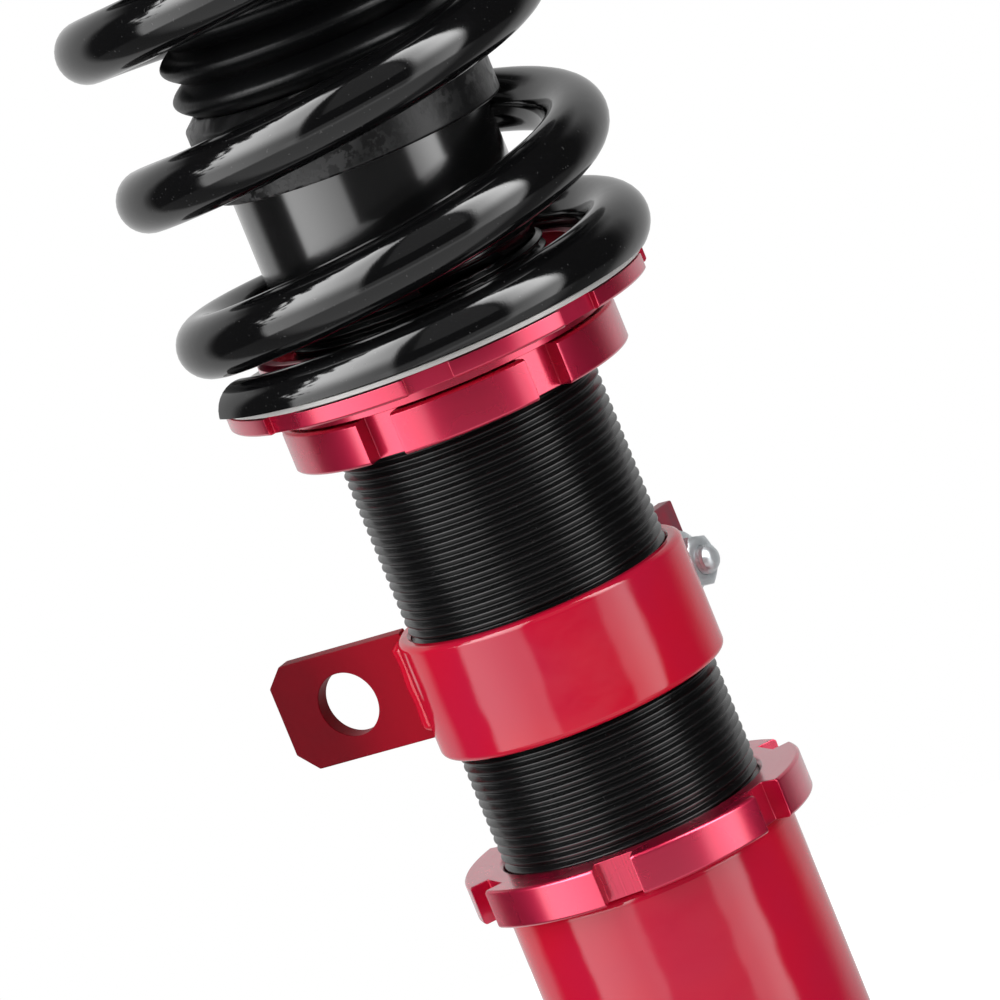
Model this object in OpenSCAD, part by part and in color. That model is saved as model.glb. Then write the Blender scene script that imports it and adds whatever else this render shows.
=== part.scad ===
// Height-adjustable coilover strut: knuckle bracket, threaded damper, coil spring and pillow-ball top mount.
// Millimetres. Origin: centre of the lower knuckle bolt's bore. +Z runs up the strut, +X from strut to knuckle.

/* [Threaded body] */
// Outside diameter of the damper body, over the crests of its thread
thread_d = 55; // [53:0.5:57]
// Bore of the damper body, where the piston runs
bore_d = 46; // [42:0.5:48]
// How much smaller the plain neck above the thread is, on the diameter
neck_relief = 0.4; // [0.2:0.1:1]
// Length of plain neck above the thread
neck_len = 37.8; // [34:0.2:44]
// How much thread shows above the perch's washer
thread_above = 10; // [6:0.5:14]
// How far the body is screwed into the lower tube
engaged_len = 120; // [95:1:128]

/* [Lower tube] */
// Wall of the lower tube outside the body's thread
tube_wall = 3.05; // [2.5:0.05:4]
// Height of the tube's mouth above the lower knuckle bolt
tube_above = 159.6; // [145:0.2:175]
// Depth of the tube's end below the lower knuckle bolt
tube_below = 26; // [24:0.5:34]
// Thickness of the cap that closes the tube's lower end
cap_t = 4; // [3:0.5:6]
// Radius on the tube's outer edge at its mouth
mouth_r = 2; // [1:0.25:2.5]

/* [Knuckle bracket] */
// Distance from the strut's axis to the knuckle bolts
bolt_offset = 56; // [52:0.5:62]
// Distance between the two knuckle bolts
bolt_pitch = 58; // [50:1:66]
// Diameter of the knuckle bolt holes
bolt_hole_d = 14.5; // [12.5:0.5:16.5]
// Gap between the bracket's ears, for the knuckle
knuckle_gap = 38; // [32:0.5:44]
// Thickness of the bracket's plate
plate_t = 4; // [3:0.25:5]
// How far the ears reach past the bolts, and above and below them
ear_margin = 20; // [17:0.5:22]
// Thickness of the gusset between the ears
gusset_t = 4; // [3:0.5:5]

/* [Rings] */
// Height of each lock ring
ring_h = 9; // [7:0.5:11]
// Width of a lock ring from bore to rim
ring_wall = 8.3; // [6.5:0.1:10]
// Height of the lower lock ring
lower_ring_h = 8.3; // [7:0.1:11]
// How much further the lower lock ring stands out
lower_ring_extra = 0.4; // [0:0.1:1]
// Number of spanner notches in a lock ring
ring_notches = 6; // [4:1:8]
// Width of a lock ring's notch
ring_notch_w = 8; // [6:0.2:10]
// Depth of a lock ring's notch
ring_notch_depth = 4.4; // [2:0.2:5]

/* [Spring perch] */
// Diameter of the perch and of its slip washer
perch_d = 89.6; // [88:0.2:94]
// Thickness of the perch's flange
perch_flange_h = 3.9; // [3:0.1:6]
// Height of the perch's hub under its flange
perch_hub_h = 3; // [1:0.1:4]
// Height of the perch's spigot inside the spring
spigot_h = 7; // [4:0.5:9]
// Number of notches in the perch's rim
perch_notches = 8; // [6:1:10]
// Width of a notch in the perch's rim
perch_notch_w = 9.6; // [6:0.2:10]
// Depth of a notch in the perch's rim
perch_notch_depth = 1.8; // [1:0.1:2]
// Thickness of the slip washer between perch and spring
washer_t = 1.1; // [0.8:0.1:2]
// Clear height between the clamp band and the perch's lock ring
perch_clear = 40; // [34:0.5:50]

/* [Spring] */
// Inside diameter of the spring
spring_inner_d = 72; // [71:0.25:74]
// Diameter of the spring's wire
wire_d = 13; // [11:0.25:13]
// Rise of one active turn
spring_pitch = 32; // [28:0.5:36]
// Rise of one closed turn at each end
closed_pitch = 13; // [12.8:0.1:15]
// Length of each closed end, in turns
closed_turns = 0.95; // [0.9:0.01:1.1]
// Number of turns from end to end
spring_turns = 7.8; // [7:0.1:8.5]

/* [Link clamp] */
// Height of the clamp band
band_h = 25.2; // [22:0.2:28]
// Thickness of the clamp band and its ears
band_t = 3; // [2.5:0.25:4]
// Clear height between the lower lock ring and the clamp band
band_clear = 25.5; // [24:0.1:32]
// Gap between the clamp's ears
ear_gap = 6; // [4:0.25:7]
// Reach of the clamp's ears from the strut's axis
ear_reach = 44; // [43:0.25:48]
// Distance from the strut's axis to the clamp bolt
clamp_bolt_r = 38.6; // [38:0.1:39.5]
// Diameter of the clamp bolt
clamp_bolt_d = 6; // [5:0.5:8]
// Thickness of the link lug
lug_t = 4; // [3:0.25:5]
// Height of the link lug
lug_h = 22.8; // [20:0.2:24]
// Reach of the link lug from the strut's axis
lug_reach = 63.2; // [59:0.2:66]
// Distance from the strut's axis to the hole in the lug
lug_hole_r = 47; // [43:0.2:49]
// Diameter of the hole in the lug
lug_hole_d = 13.6; // [10:0.2:14]
// Cut at each outer corner of the lug
lug_chamfer = 4; // [3:0.25:5]

/* [Damper] */
// Diameter of the piston rod
rod_d = 20; // [18:0.5:22]
// Diameter of the rod's upper stud
stud_d = 14; // [12:0.5:15]
// Diameter of the rod's lower stud, through the piston
tail_d = 12; // [10:0.5:14]
// Travel from full droop to full bump
stroke = 100; // [70:5:105]
// Height of the damper piston
piston_h = 12; // [10:0.5:16]
// Height of the floating gas piston
gas_piston_h = 16; // [12:0.5:20]
// Height of the floating piston's lower face above the base plug at full droop
gas_room = 52; // [40:1:60]
// Height of the rod guide
guide_h = 20; // [14:1:26]
// Height of the gland nut's rim above the body
gland_rim_h = 3; // [2:0.25:3.5]
// Length of the bump stop
bump_len = 45; // [30:1:50]
// Outside diameter of the bump stop
bump_d = 44; // [38:0.5:48]

/* [Dust boot] */
// Height of the boot's collar over the neck
collar_h = 17.5; // [15:0.1:22]
// Wall of the collar
collar_wall = 3.3; // [2.5:0.1:3.6]
// Outer radius of the boot's ribs beyond its valleys
rib_depth = 3.6; // [2:0.1:4]
// Number of ribs
ribs = 22; // [18:1:28]
// Wall of the boot
boot_wall = 1.5; // [1:0.1:2]

/* [Top mount] */
// How far the upper spring seat reaches past the outside of the spring
seat_overhang = 0.5; // [0:0.1:3]
// Thickness of the upper seat's flange
seat_flange_h = 5; // [4:0.5:7]
// Thickness of the upper seat's hub, where the rod passes
seat_hub_h = 10; // [9:0.5:13]
// Diameter of the pillow ball
ball_d = 28; // [26:0.5:30]
// Width of the pillow ball across its flats
ball_w = 20; // [18:0.5:21]
// Outside diameter of the bearing race
race_d = 38; // [36:0.5:42]
// Width of the bearing race
race_w = 14; // [12:0.5:15]
// Length of the spacer between seat and ball
lower_spacer_h = 12; // [11:0.5:18]
// Length of the spacer between ball and nut
upper_spacer_h = 6; // [5.5:0.5:10]
// Length of the camber plate, along its travel
camber_l = 84; // [80:1:90]
// Width of the camber plate
camber_w = 76; // [72:1:80]
// Thickness of the camber plate
camber_t = 10; // [9.5:0.5:14]
// Camber travel each way
camber_travel = 8; // [4:0.5:8]
// Thickness of the top plate
top_t = 6; // [5:0.5:8]
// Diameter of the top plate without its lobes
top_d = 126; // [122:1:132]
// Diameter of the circle on which the tower studs stand
stud_pcd = 144; // [140:1:150]
// Number of tower studs
tower_studs = 3; // [3:1:4]
// Diameter of a tower stud
tower_stud_d = 10; // [8:1:12]
// Height of a tower stud above the top plate
tower_stud_h = 24; // [18:1:30]
// Diameter of the adjuster knob
knob_d = 22; // [18:0.5:24]
// Height of the adjuster knob
knob_h = 14; // [10:0.5:18]

/* [Clearances] */
// Radial clearance of pieces that run on each other
run_gap = 0.05; // [0.03:0.01:0.09]
// Radial clearance of pieces that are fixed in each other
seat_gap = 0.05; // [0.03:0.01:0.1]
// Gap between faces of pieces that move past each other
face_gap = 0.3; // [0.2:0.05:0.5]

/* [Hidden] */
$fn = 96;
over = 1;                       // how far a cutting solid runs past what it cuts

// Radii
thread_r = thread_d / 2;
neck_r = (thread_d - neck_relief) / 2;
bore_r = bore_d / 2;
rod_r = rod_d / 2;
turning_r = thread_r + run_gap;            // bore of what turns or slides on the body
tube_r = turning_r + tube_wall;
band_r = turning_r + band_t;
ring_r = turning_r + ring_wall;
perch_r = perch_d / 2;
spigot_r = spring_inner_d / 2 - 0.8;            // spring slips over perch and seat spigots
spigot_wall = 3;
coil_r = (spring_inner_d + wire_d) / 2;

// Heights, from the lower knuckle bolt up
body_z = tube_above - engaged_len;
lower_ring_z = tube_above + face_gap;
band_z = lower_ring_z + lower_ring_h + band_clear;
perch_ring_z = band_z + band_h + perch_clear;
perch_z = perch_ring_z + ring_h + face_gap;
flange_z = perch_z + perch_hub_h;
washer_z = flange_z + perch_flange_h;
spring_z = washer_z + washer_t;
thread_top = spring_z + thread_above;
neck_top = thread_top + neck_len;
gland_top = neck_top + gland_rim_h;
collar_lip = 2;                            // thickness of the collar's inward lip
collar_top = gland_top + face_gap + collar_lip + 3;
collar_z = collar_top - collar_h;
spring_len = closed_pitch * spring_turns + (spring_pitch - closed_pitch) * (spring_turns - 2 * closed_turns);
seat_z = spring_z + spring_len + face_gap;              // underside of the upper seat's flange
hub_z = seat_z - 2.7;                                   // underside of the upper seat's hub
seat_top = hub_z + seat_hub_h;
ball_z = seat_top + lower_spacer_h + ball_w / 2;
nut_z = ball_z + ball_w / 2 + upper_spacer_h;
camber_z = ball_z + race_w / 2 + 3 - camber_t;          // 3 mm lip holds the race down
top_z = camber_z + camber_t + face_gap;
boot_z = collar_top;
boot_top = hub_z - face_gap;

// Fasteners: width across flats and height
tower_head_h = 3;
stud_shoulder = 0.5;                                    // how far the shoulder stands out of the stud's thread
rod_nut_h = 12;
rod_nut_af = 22;
clamp_hex_af = 10;
clamp_hex_h = 6;
clamp_flange_d = 14.2;
clamp_flange_h = 1.4;
camber_screw_d = 8;
camber_head_d = 13;
camber_head_h = 8;

// Damper inside
base_h = 12;
guide_depth = 8;                                        // gland nut's thread above the guide
guide_z = neck_top - guide_depth - guide_h;
droop_gap = 24;                                         // from the guide down to the piston's lower face
piston_z = guide_z - droop_gap;
gas_piston_z = body_z + base_h + gas_room;
band_groove = 1.2;                                      // depth of the piston band's groove
band_groove_h = 6;                                      // height of that groove
needle_h = 24;                                          // depth of the adjuster's bore in the rod
needle_bore_d = 5.1;
piston_r = bore_r - 0.4;
port_d = 5;
port_r = bore_r - 8;                                    // circle on which the piston's ports stand
shim_t = 1;
shim_r = bore_r - 4;                                    // largest shim, over the ports
shim_step = 3;                                          // how much smaller each next shim is
tail_nut_h = 8;

// Places round the axis
lower_ring_az = 258.1;
perch_ring_az = 240.2;
perch_az = 264.2;
clamp_az = 52;
lug_az = 149;
lug_face = 8.3;                                         // lug's front face beyond its radial line
lug_z = band_z + band_h - lug_h;

// ---- Shared shapes ----

module on_strut() translate([-bolt_offset, 0, 0]) children();

// A ring from z0 to z1 on the strut's axis
module ring(r_out, r_in, z0, z1) {
    rotate_extrude() translate([r_in, z0]) square([r_out - r_in, z1 - z0]);
}

module turned(points) rotate_extrude() polygon(points);

// Hexagon prism by its width across flats
module hex(af, h) cylinder(d = af / cos(30), h = h, $fn = 6);

// Rectangle with round corners, centred
module round_rect(l, w, r) {
    square([l - 2 * r, w], center = true);
    square([l, w - 2 * r], center = true);
    for (x = [-1, 1], y = [-1, 1]) translate([x * (l / 2 - r), y * (w / 2 - r)]) circle(r);
}

// Outline of two discs at a distance, with their common tangents
module lobe(r_near, r_far, distance) {
    lean = acos((r_near - r_far) / distance);
    circle(r_near);
    translate([distance, 0]) circle(r_far);
    polygon([
        [r_near * cos(lean), r_near * sin(lean)],
        [r_near * cos(lean), -r_near * sin(lean)],
        [distance + r_far * cos(lean), -r_far * sin(lean)],
        [distance + r_far * cos(lean), r_far * sin(lean)]
    ]);
}

// Slots cut into a rim, all round
module rim_notches(count, first_az, rim_r, w, depth, z0, z1) {
    for (i = [0 : count - 1])
        rotate(first_az + i * 360 / count)
            translate([rim_r - depth, -w / 2, z0])
                cube([depth + over, w, z1 - z0]);
}

// ---- Knuckle bracket and lower tube ----

module lower_tube() {
    color("crimson") on_strut() turned(concat(
        [[turning_r, -tube_below], [tube_r, -tube_below], [tube_r, tube_above - mouth_r]],
        [for (a = [15 : 15 : 90]) [tube_r - mouth_r + mouth_r * cos(a), tube_above - mouth_r + mouth_r * sin(a)]],
        [[turning_r, tube_above]]
    ));
}

module tube_cap() {
    color("crimson") on_strut() ring(turning_r - seat_gap, 4, -tube_below, cap_t - tube_below);
}

// A disc that opens towards the knuckle into a channel of another width
module channel(r, half_w, narrows_x, end_x) {
    circle(r);
    polygon([
        [0, -r], [narrows_x, -r], [narrows_x + 14, -half_w], [end_x, -half_w],
        [end_x, half_w], [narrows_x + 14, half_w], [narrows_x, r], [0, r]
    ]);
}

// The plate's outline seen along the strut: round the tube, in towards the knuckle, then along the ears
module bracket_outline() {
    inner = tube_r + seat_gap;
    narrows_x = 22;
    tip = bolt_offset + ear_margin;
    difference() {
        channel(inner + plate_t, knuckle_gap / 2 + plate_t, narrows_x + 1.5, tip);
        channel(inner, knuckle_gap / 2, narrows_x, tip + over);
    }
}

// The plate's outline seen from the side
module bracket_side() {
    low = -ear_margin;
    high = bolt_pitch + ear_margin;
    tip = bolt_offset + ear_margin;
    cut = 9;
    back = -tube_r - plate_t - over;
    polygon([
        [back, low + 16], [back, high - 16], [-tube_r + 12, high - 16], [12, high], [tip - cut, high], [tip, high - cut],
        [tip, low + cut], [tip - cut, low], [12, low], [-tube_r + 12, low + 16]
    ]);
}

module knuckle_bracket() {
    reach = knuckle_gap / 2 + plate_t + over;
    color("crimson") difference() {
        on_strut() intersection() {
            translate([0, 0, -ear_margin - over]) linear_extrude(bolt_pitch + 2 * ear_margin + 2 * over) bracket_outline();
            translate([0, tube_r + 2 * plate_t, 0]) rotate([90, 0, 0]) linear_extrude(2 * tube_r + 4 * plate_t) bracket_side();
        }
        for (z = [0, bolt_pitch])
            translate([0, reach, z]) rotate([90, 0, 0]) cylinder(d = bolt_hole_d, h = 2 * reach);
    }
}

module gusset_plate() {
    width = knuckle_gap - 2 * seat_gap;
    foot = tube_r + 3.5;
    color("crimson") on_strut() translate([foot + plate_t / 2, 0, bolt_pitch / 2]) rotate([0, 90, 0])
        linear_extrude(gusset_t) difference() {
            round_rect(bolt_pitch + 20, width, 4);
            for (z = [-1, 1]) translate([z * 18, 0]) circle(8);
        }
}

// ---- Rings, perch and spring ----

module lock_ring(r, h, z, first_az) {
    chamfer = 0.5;
    difference() {
        turned([
            [turning_r, z], [r - chamfer, z], [r, z + chamfer],
            [r, z + h - chamfer], [r - chamfer, z + h], [turning_r, z + h]
        ]);
        rim_notches(ring_notches, first_az, r, ring_notch_w, ring_notch_depth, z - over, z + h + over);
    }
}

module lower_lock_ring()
    color("crimson") on_strut() lock_ring(ring_r + lower_ring_extra, lower_ring_h, lower_ring_z, lower_ring_az);

module perch_lock_ring() color("crimson") on_strut() lock_ring(ring_r, ring_h, perch_ring_z, perch_ring_az);

module spring_perch() {
    hub_r = ring_r - 1.5;
    chamfer = 0.5;
    color("crimson") on_strut() difference() {
        turned([
            [turning_r, perch_z], [hub_r, perch_z], [hub_r, flange_z], [perch_r - chamfer, flange_z],
            [perch_r, flange_z + chamfer], [perch_r, washer_z - face_gap], [spigot_r, washer_z - face_gap],
            [spigot_r, washer_z + spigot_h - 1], [spigot_r - 1, washer_z + spigot_h], [spigot_r - spigot_wall, washer_z + spigot_h],
            [spigot_r - spigot_wall, washer_z], [turning_r, washer_z]
        ]);
        rim_notches(perch_notches, perch_az, perch_r, perch_notch_w, perch_notch_depth, flange_z - over, washer_z);
    }
}

module slip_washer() color("silver") on_strut() ring(perch_r, spigot_r + face_gap, washer_z, spring_z);

rings_per_turn = 24;
wire_sides = 10;
spring_rings = floor(rings_per_turn * spring_turns);
ground_az = 201;                                        // where the wire's lower tip stands

// Smooth start of a ramp, and the wire's height after so many turns
function ramp(t) = (t + sqrt(t * t + 0.0036)) / 2;
function wire_rise(t) = closed_pitch * t
    + (spring_pitch - closed_pitch) * (ramp(t - closed_turns) - ramp(t - spring_turns + closed_turns));
function wire_lean(t) = atan((wire_rise(t + 0.01) - wire_rise(t - 0.01)) / (0.02 * 360 * coil_r * PI / 180));
function wire_turn(i) = i * spring_turns / spring_rings;
function wire_centre(t) = [
    coil_r * cos(ground_az + 360 * t), coil_r * sin(ground_az + 360 * t), wire_rise(t)
];
// A point of the wire's section, with both ends of the spring ground flat
function wire_point(t, a) =
    let (c = wire_centre(t), az = ground_az + 360 * t, lean = wire_lean(t), r = wire_d / 2)
    [
        c.x + r * (cos(a) * cos(az) + sin(a) * sin(az) * sin(lean)),
        c.y + r * (cos(a) * sin(az) - sin(a) * cos(az) * sin(lean)),
        min(max(c.z + r * sin(a) * cos(lean), 0), spring_len)
    ];
wire_gap = min([
    for (i = [0 : spring_rings - rings_per_turn], j = [-3 : 3])
        norm(wire_centre(wire_turn(i)) - wire_centre(wire_turn(i) + 1 + j / rings_per_turn)) - wire_d
]);
echo(least_gap_between_turns = wire_gap);

module coil_spring() {
    points = [
        for (i = [0 : spring_rings], k = [0 : wire_sides - 1]) wire_point(wire_turn(i), k * 360 / wire_sides)
    ];
    walls = [
        for (i = [0 : spring_rings - 1], k = [0 : wire_sides - 1])
            let (a = i * wire_sides + k, b = i * wire_sides + (k + 1) % wire_sides)
            each [[a, a + wire_sides, b], [b, a + wire_sides, b + wire_sides]]
    ];
    last = spring_rings * wire_sides;
    ends = [
        for (k = [1 : wire_sides - 2]) each [[0, k, k + 1], [last, last + k + 1, last + k]]
    ];
    color("black") on_strut() translate([0, 0, spring_z]) polyhedron(points, concat(walls, ends));
}

// ---- Damper body ----

module threaded_body() {
    color("dimgray") on_strut() turned([
        [bore_r, body_z], [thread_r - 1, body_z], [thread_r, body_z + 1], [thread_r, thread_top - 1],
        [thread_r - 1, thread_top], [neck_r - 0.8, thread_top], [neck_r - 0.8, thread_top + 1.5], [neck_r, thread_top + 2],
        [neck_r, neck_top - 1], [neck_r - 1, neck_top], [bore_r, neck_top]
    ]);
}

module base_plug() color("dimgray") on_strut() ring(bore_r - seat_gap, 3, body_z, body_z + base_h);

module rod_guide() {
    color("silver") on_strut() turned([
        [rod_r + run_gap, guide_z], [bore_r - 4, guide_z], [bore_r - seat_gap, guide_z + 4],
        [bore_r - seat_gap, guide_z + guide_h], [rod_r + 6, guide_z + guide_h],
        [rod_r + 6, guide_z + guide_h - 7], [rod_r + run_gap, guide_z + guide_h - 7]
    ]);
}

module rod_seal() {
    color("black") on_strut() ring(rod_r + 6 - seat_gap, rod_r + run_gap, guide_z + guide_h - 7, guide_z + guide_h);
}

module gland_nut() {
    base = guide_z + guide_h;
    color("silver") on_strut() difference() {
        turned([
            [rod_r + 1, base], [bore_r - seat_gap, base], [bore_r - seat_gap, neck_top],
            [neck_r - 2, neck_top], [neck_r - 2, gland_top], [rod_r + 1, gland_top]
        ]);
        for (a = [45 : 90 : 315]) rotate(a) translate([bore_r - 5, 0, gland_top - 4]) cylinder(d = 5, h = 4 + over);
    }
}

module boot_collar() {
    chamfer = 2.4;
    outer = neck_r + seat_gap + collar_wall;
    color("black") on_strut() turned([
        [neck_r + seat_gap, collar_z], [outer, collar_z], [outer, collar_top - chamfer],
        [outer - 1.15 * chamfer, collar_top], [bore_r, collar_top], [bore_r, collar_top - collar_lip],
        [neck_r + seat_gap, collar_top - collar_lip]
    ]);
}

// Ribs: round crests and narrow valleys, eight steps to a rib
boot_steps = 8;
boot_valley = neck_r - 0.1;
function boot_r(i) = boot_valley + rib_depth * abs(sin(180 * i / boot_steps));
function boot_at(i) = boot_z + (boot_top - boot_z) * i / (ribs * boot_steps);

module dust_boot() {
    count = ribs * boot_steps;
    color("black") on_strut() turned(concat(
        [for (i = [0 : count]) [boot_r(i), boot_at(i)]],
        [for (i = [count : -1 : 0]) [boot_r(i) - boot_wall, boot_at(i)]]
    ));
}

module gas_piston() {
    r = bore_r - run_gap;
    mid = gas_piston_z + gas_piston_h / 2;
    color("silver") on_strut() turned([
        [0, gas_piston_z + 5], [r - 8, gas_piston_z + 5], [r - 5, gas_piston_z], [r, gas_piston_z], [r, mid - 2],
        [r - 3, mid - 2], [r - 3, mid + 2], [r, mid + 2], [r, gas_piston_z + gas_piston_h],
        [0, gas_piston_z + gas_piston_h]
    ]);
}

module gas_piston_seal() {
    mid = gas_piston_z + gas_piston_h / 2;
    color("black") on_strut() ring(bore_r - run_gap, bore_r - run_gap - 3 + seat_gap, mid - 1.9, mid + 1.9);
}

// ---- Link clamp on the thread ----

module at_clamp() on_strut() translate([0, 0, band_z]) rotate(clamp_az) children();

module clamp_band() {
    color("crimson") at_clamp() difference() {
        union() {
            cylinder(r = band_r, h = band_h);
            translate([0, -ear_gap / 2 - band_t, 0]) cube([ear_reach, ear_gap + 2 * band_t, band_h]);
        }
        translate([0, 0, -over]) cylinder(r = turning_r, h = band_h + 2 * over);
        translate([0, -ear_gap / 2, -over]) cube([ear_reach + over, ear_gap, band_h + 2 * over]);
        translate([clamp_bolt_r, 0, band_h / 2]) rotate([90, 0, 0])
            cylinder(d = clamp_bolt_d + 0.6, h = 2 * (ear_gap + band_t), center = true);
    }
}

module at_lug() on_strut() translate([0, 0, lug_z]) rotate(lug_az) children();

// The plate, seen along its face: root on the band, two cut corners outside
module lug_outline() {
    cut = lug_chamfer;
    polygon([
        [band_r - 2, 0], [lug_reach - cut, 0], [lug_reach, cut],
        [lug_reach, lug_h - cut], [lug_reach - cut, lug_h], [band_r - 2, lug_h]
    ]);
}

module link_lug() {
    color("crimson") at_lug() difference() {
        translate([0, lug_face, 0]) rotate([90, 0, 0]) linear_extrude(lug_t) lug_outline();
        translate([0, 0, -over]) cylinder(r = band_r, h = lug_h + 2 * over);
        translate([lug_hole_r, lug_face + over, lug_h / 2]) rotate([90, 0, 0])
            cylinder(d = lug_hole_d, h = lug_t + 2 * over);
    }
}

module lug_weld() {
    bead = 2.4;
    color("crimson") at_lug() for (side = [lug_face, lug_face - lug_t]) difference() {
        root = sqrt(band_r * band_r - side * side);
        translate([root, side, 0.6]) cylinder(r = bead, h = lug_h - 1.2);
        translate([0, 0, -over]) cylinder(r = band_r, h = lug_h + 2 * over);
        translate([0, lug_face - lug_t, -over]) cube([lug_reach, lug_t, lug_h + 2 * over]);
    }
}

// The bolt's head is on the far side, the nut and the bolt's end on the near side
module clamp_bolt() {
    outside = ear_gap / 2 + band_t;
    past = 3;                                           // thread past the nut
    color("silver") at_clamp() translate([clamp_bolt_r, outside, band_h / 2]) rotate([-90, 0, 0]) {
        cylinder(d = clamp_flange_d, h = clamp_flange_h);
        hex(clamp_hex_af, clamp_hex_h);
        length = 2 * outside + clamp_hex_h + past;
        translate([0, 0, -length]) cylinder(d = clamp_bolt_d, h = length + clamp_hex_h / 2);
    }
}

module clamp_nut() {
    outside = ear_gap / 2 + band_t;
    color("silver") at_clamp() translate([clamp_bolt_r, -outside, band_h / 2]) rotate([90, 0, 0]) difference() {
        union() {
            cylinder(d = clamp_flange_d, h = clamp_flange_h);
            hex(clamp_hex_af, clamp_hex_h);
        }
        translate([0, 0, -over]) cylinder(d = clamp_bolt_d + 2 * seat_gap, h = clamp_hex_h + 2 * over);
    }
}

// ---- Rod and piston ----

module piston_rod() {
    tail = tail_d / 2;
    stud = stud_d / 2;
    tip = nut_z + rod_nut_h + 6;
    color("silver") on_strut() difference() {
        turned([
            [0, piston_z - tail_nut_h - 3 * shim_t], [tail, piston_z - tail_nut_h - 3 * shim_t], [tail, piston_z + piston_h + 3 * shim_t],
            [rod_r, piston_z + piston_h + 3 * shim_t], [rod_r, hub_z], [stud, hub_z], [stud, tip - 1], [stud - 1, tip], [0, tip]
        ]);
        translate([0, 0, tip - needle_h]) cylinder(d = needle_bore_d, h = needle_h + over);
    }
}

module damper_piston() {
    r = piston_r;
    hole = tail_d / 2 + seat_gap;
    mid = piston_z + piston_h / 2;
    half = band_groove_h / 2;
    color("gray") on_strut() difference() {
        turned([
            [hole, piston_z], [r, piston_z], [r, mid - half], [r - band_groove, mid - half],
            [r - band_groove, mid + half], [r, mid + half], [r, piston_z + piston_h], [hole, piston_z + piston_h]
        ]);
        for (a = [0 : 60 : 300]) rotate(a) translate([port_r, 0, piston_z - over])
            cylinder(d = port_d, h = piston_h + 2 * over);
    }
}

module piston_band() {
    mid = piston_z + piston_h / 2;
    half = band_groove_h / 2 - 0.1;
    color("saddlebrown") on_strut() ring(bore_r - run_gap, piston_r - band_groove + seat_gap, mid - half, mid + half);
}

// Two stacks of shims that taper away from the piston
module shim_stacks() {
    hole = tail_d / 2 + seat_gap;
    face = piston_z + piston_h;
    color("silver") on_strut() {
        for (i = [0 : 2]) translate([0, 0, i * shim_t]) ring(shim_r - i * shim_step, hole, face, face + shim_t);
        for (i = [0 : 1]) translate([0, 0, -i * shim_t]) ring(shim_r - i * shim_step, hole, piston_z - shim_t, piston_z);
    }
}

module piston_nut() {
    color("silver") on_strut() translate([0, 0, piston_z - 2 * shim_t - tail_nut_h]) difference() {
        hex(19, tail_nut_h);
        translate([0, 0, -over]) cylinder(d = tail_d + 2 * seat_gap, h = tail_nut_h + 2 * over);
    }
}

module bump_stop() {
    low = hub_z - bump_len;
    r = bump_d / 2;
    waist = 3;
    hole = rod_r + seat_gap;
    color("dimgray") on_strut() turned([
        [hole, low], [r - 6, low], [r - 2, low + 6], [r - 2, low + 10], [r - 2 - waist, low + 14], [r, low + 20],
        [r, low + 26], [r - waist, low + 30], [r, low + 35], [r, hub_z], [hole, hub_z]
    ]);
}

// ---- Top mount ----

module upper_spring_seat() {
    r = spring_inner_d / 2 + wire_d + seat_overhang;
    stud = stud_d / 2 + seat_gap;
    edge = seat_z + seat_flange_h;
    color("crimson") on_strut() turned([
        [stud, hub_z], [spigot_r - spigot_wall, hub_z], [spigot_r - spigot_wall, seat_z - spigot_h],
        [spigot_r - 1, seat_z - spigot_h], [spigot_r, seat_z - spigot_h + 1], [spigot_r, seat_z], [r, seat_z],
        [r, edge - 1], [r - 1, edge], [spigot_r - 6, edge], [spigot_r - 12, seat_top], [stud, seat_top]
    ]);
}

module lower_spacer() {
    stud = stud_d / 2 + seat_gap;
    top = ball_z - ball_w / 2;
    color("silver") on_strut() turned([
        [stud, seat_top], [14, seat_top], [14, seat_top + 3], [10, top - 2], [10, top], [stud, top]
    ]);
}

module pillow_ball() {
    color("silver") on_strut() translate([0, 0, ball_z]) difference() {
        sphere(d = ball_d);
        for (side = [0, 180]) rotate([side, 0, 0]) translate([0, 0, ball_w / 2]) cylinder(d = ball_d, h = ball_d);
        cylinder(d = stud_d + 2 * seat_gap, h = 2 * ball_d, center = true);
    }
}

module upper_spacer() {
    low = ball_z + ball_w / 2;
    color("silver") on_strut() ring(10, stud_d / 2 + seat_gap, low, nut_z);
}

module rod_nut() {
    collar_d = 25;
    color("silver") on_strut() translate([0, 0, nut_z]) difference() {
        union() {
            cylinder(d = collar_d, h = 2);
            hex(rod_nut_af, rod_nut_h - 2);
            cylinder(d = rod_nut_af - 3, h = rod_nut_h);
        }
        translate([0, 0, -over]) cylinder(d = stud_d + 2 * seat_gap, h = rod_nut_h + 2 * over);
    }
}

module adjuster_knob() {
    low = nut_z + rod_nut_h + 6 + face_gap;
    flutes = 20;
    color("crimson") on_strut() {
        difference() {
            turned([
                [0, low - 20], [2.5, low - 20], [2.5, low], [knob_d / 2 - 1, low], [knob_d / 2, low + 1],
                [knob_d / 2, low + knob_h - 2], [knob_d / 2 - 2, low + knob_h], [0, low + knob_h]
            ]);
            for (i = [0 : flutes - 1]) rotate(i * 360 / flutes)
                translate([knob_d / 2 + 0.4, 0, low - over]) cylinder(d = 2, h = knob_h + 2 * over);
        }
    }
}

module bearing_liner() {
    liner_t = 0.75;
    inner_d = ball_d + 2 * run_gap;
    height = race_w - 1;
    color("saddlebrown") on_strut() translate([0, 0, ball_z]) difference() {
        intersection() {
            sphere(d = inner_d + 2 * liner_t);
            cylinder(d = 2 * ball_d, h = height, center = true);
        }
        sphere(d = inner_d);
    }
}

module bearing_race() {
    socket_d = ball_d + 4 * run_gap + 1.5;
    color("silver") on_strut() translate([0, 0, ball_z]) difference() {
        cylinder(d = race_d, h = race_w, center = true);
        sphere(d = socket_d);
    }
}

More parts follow.
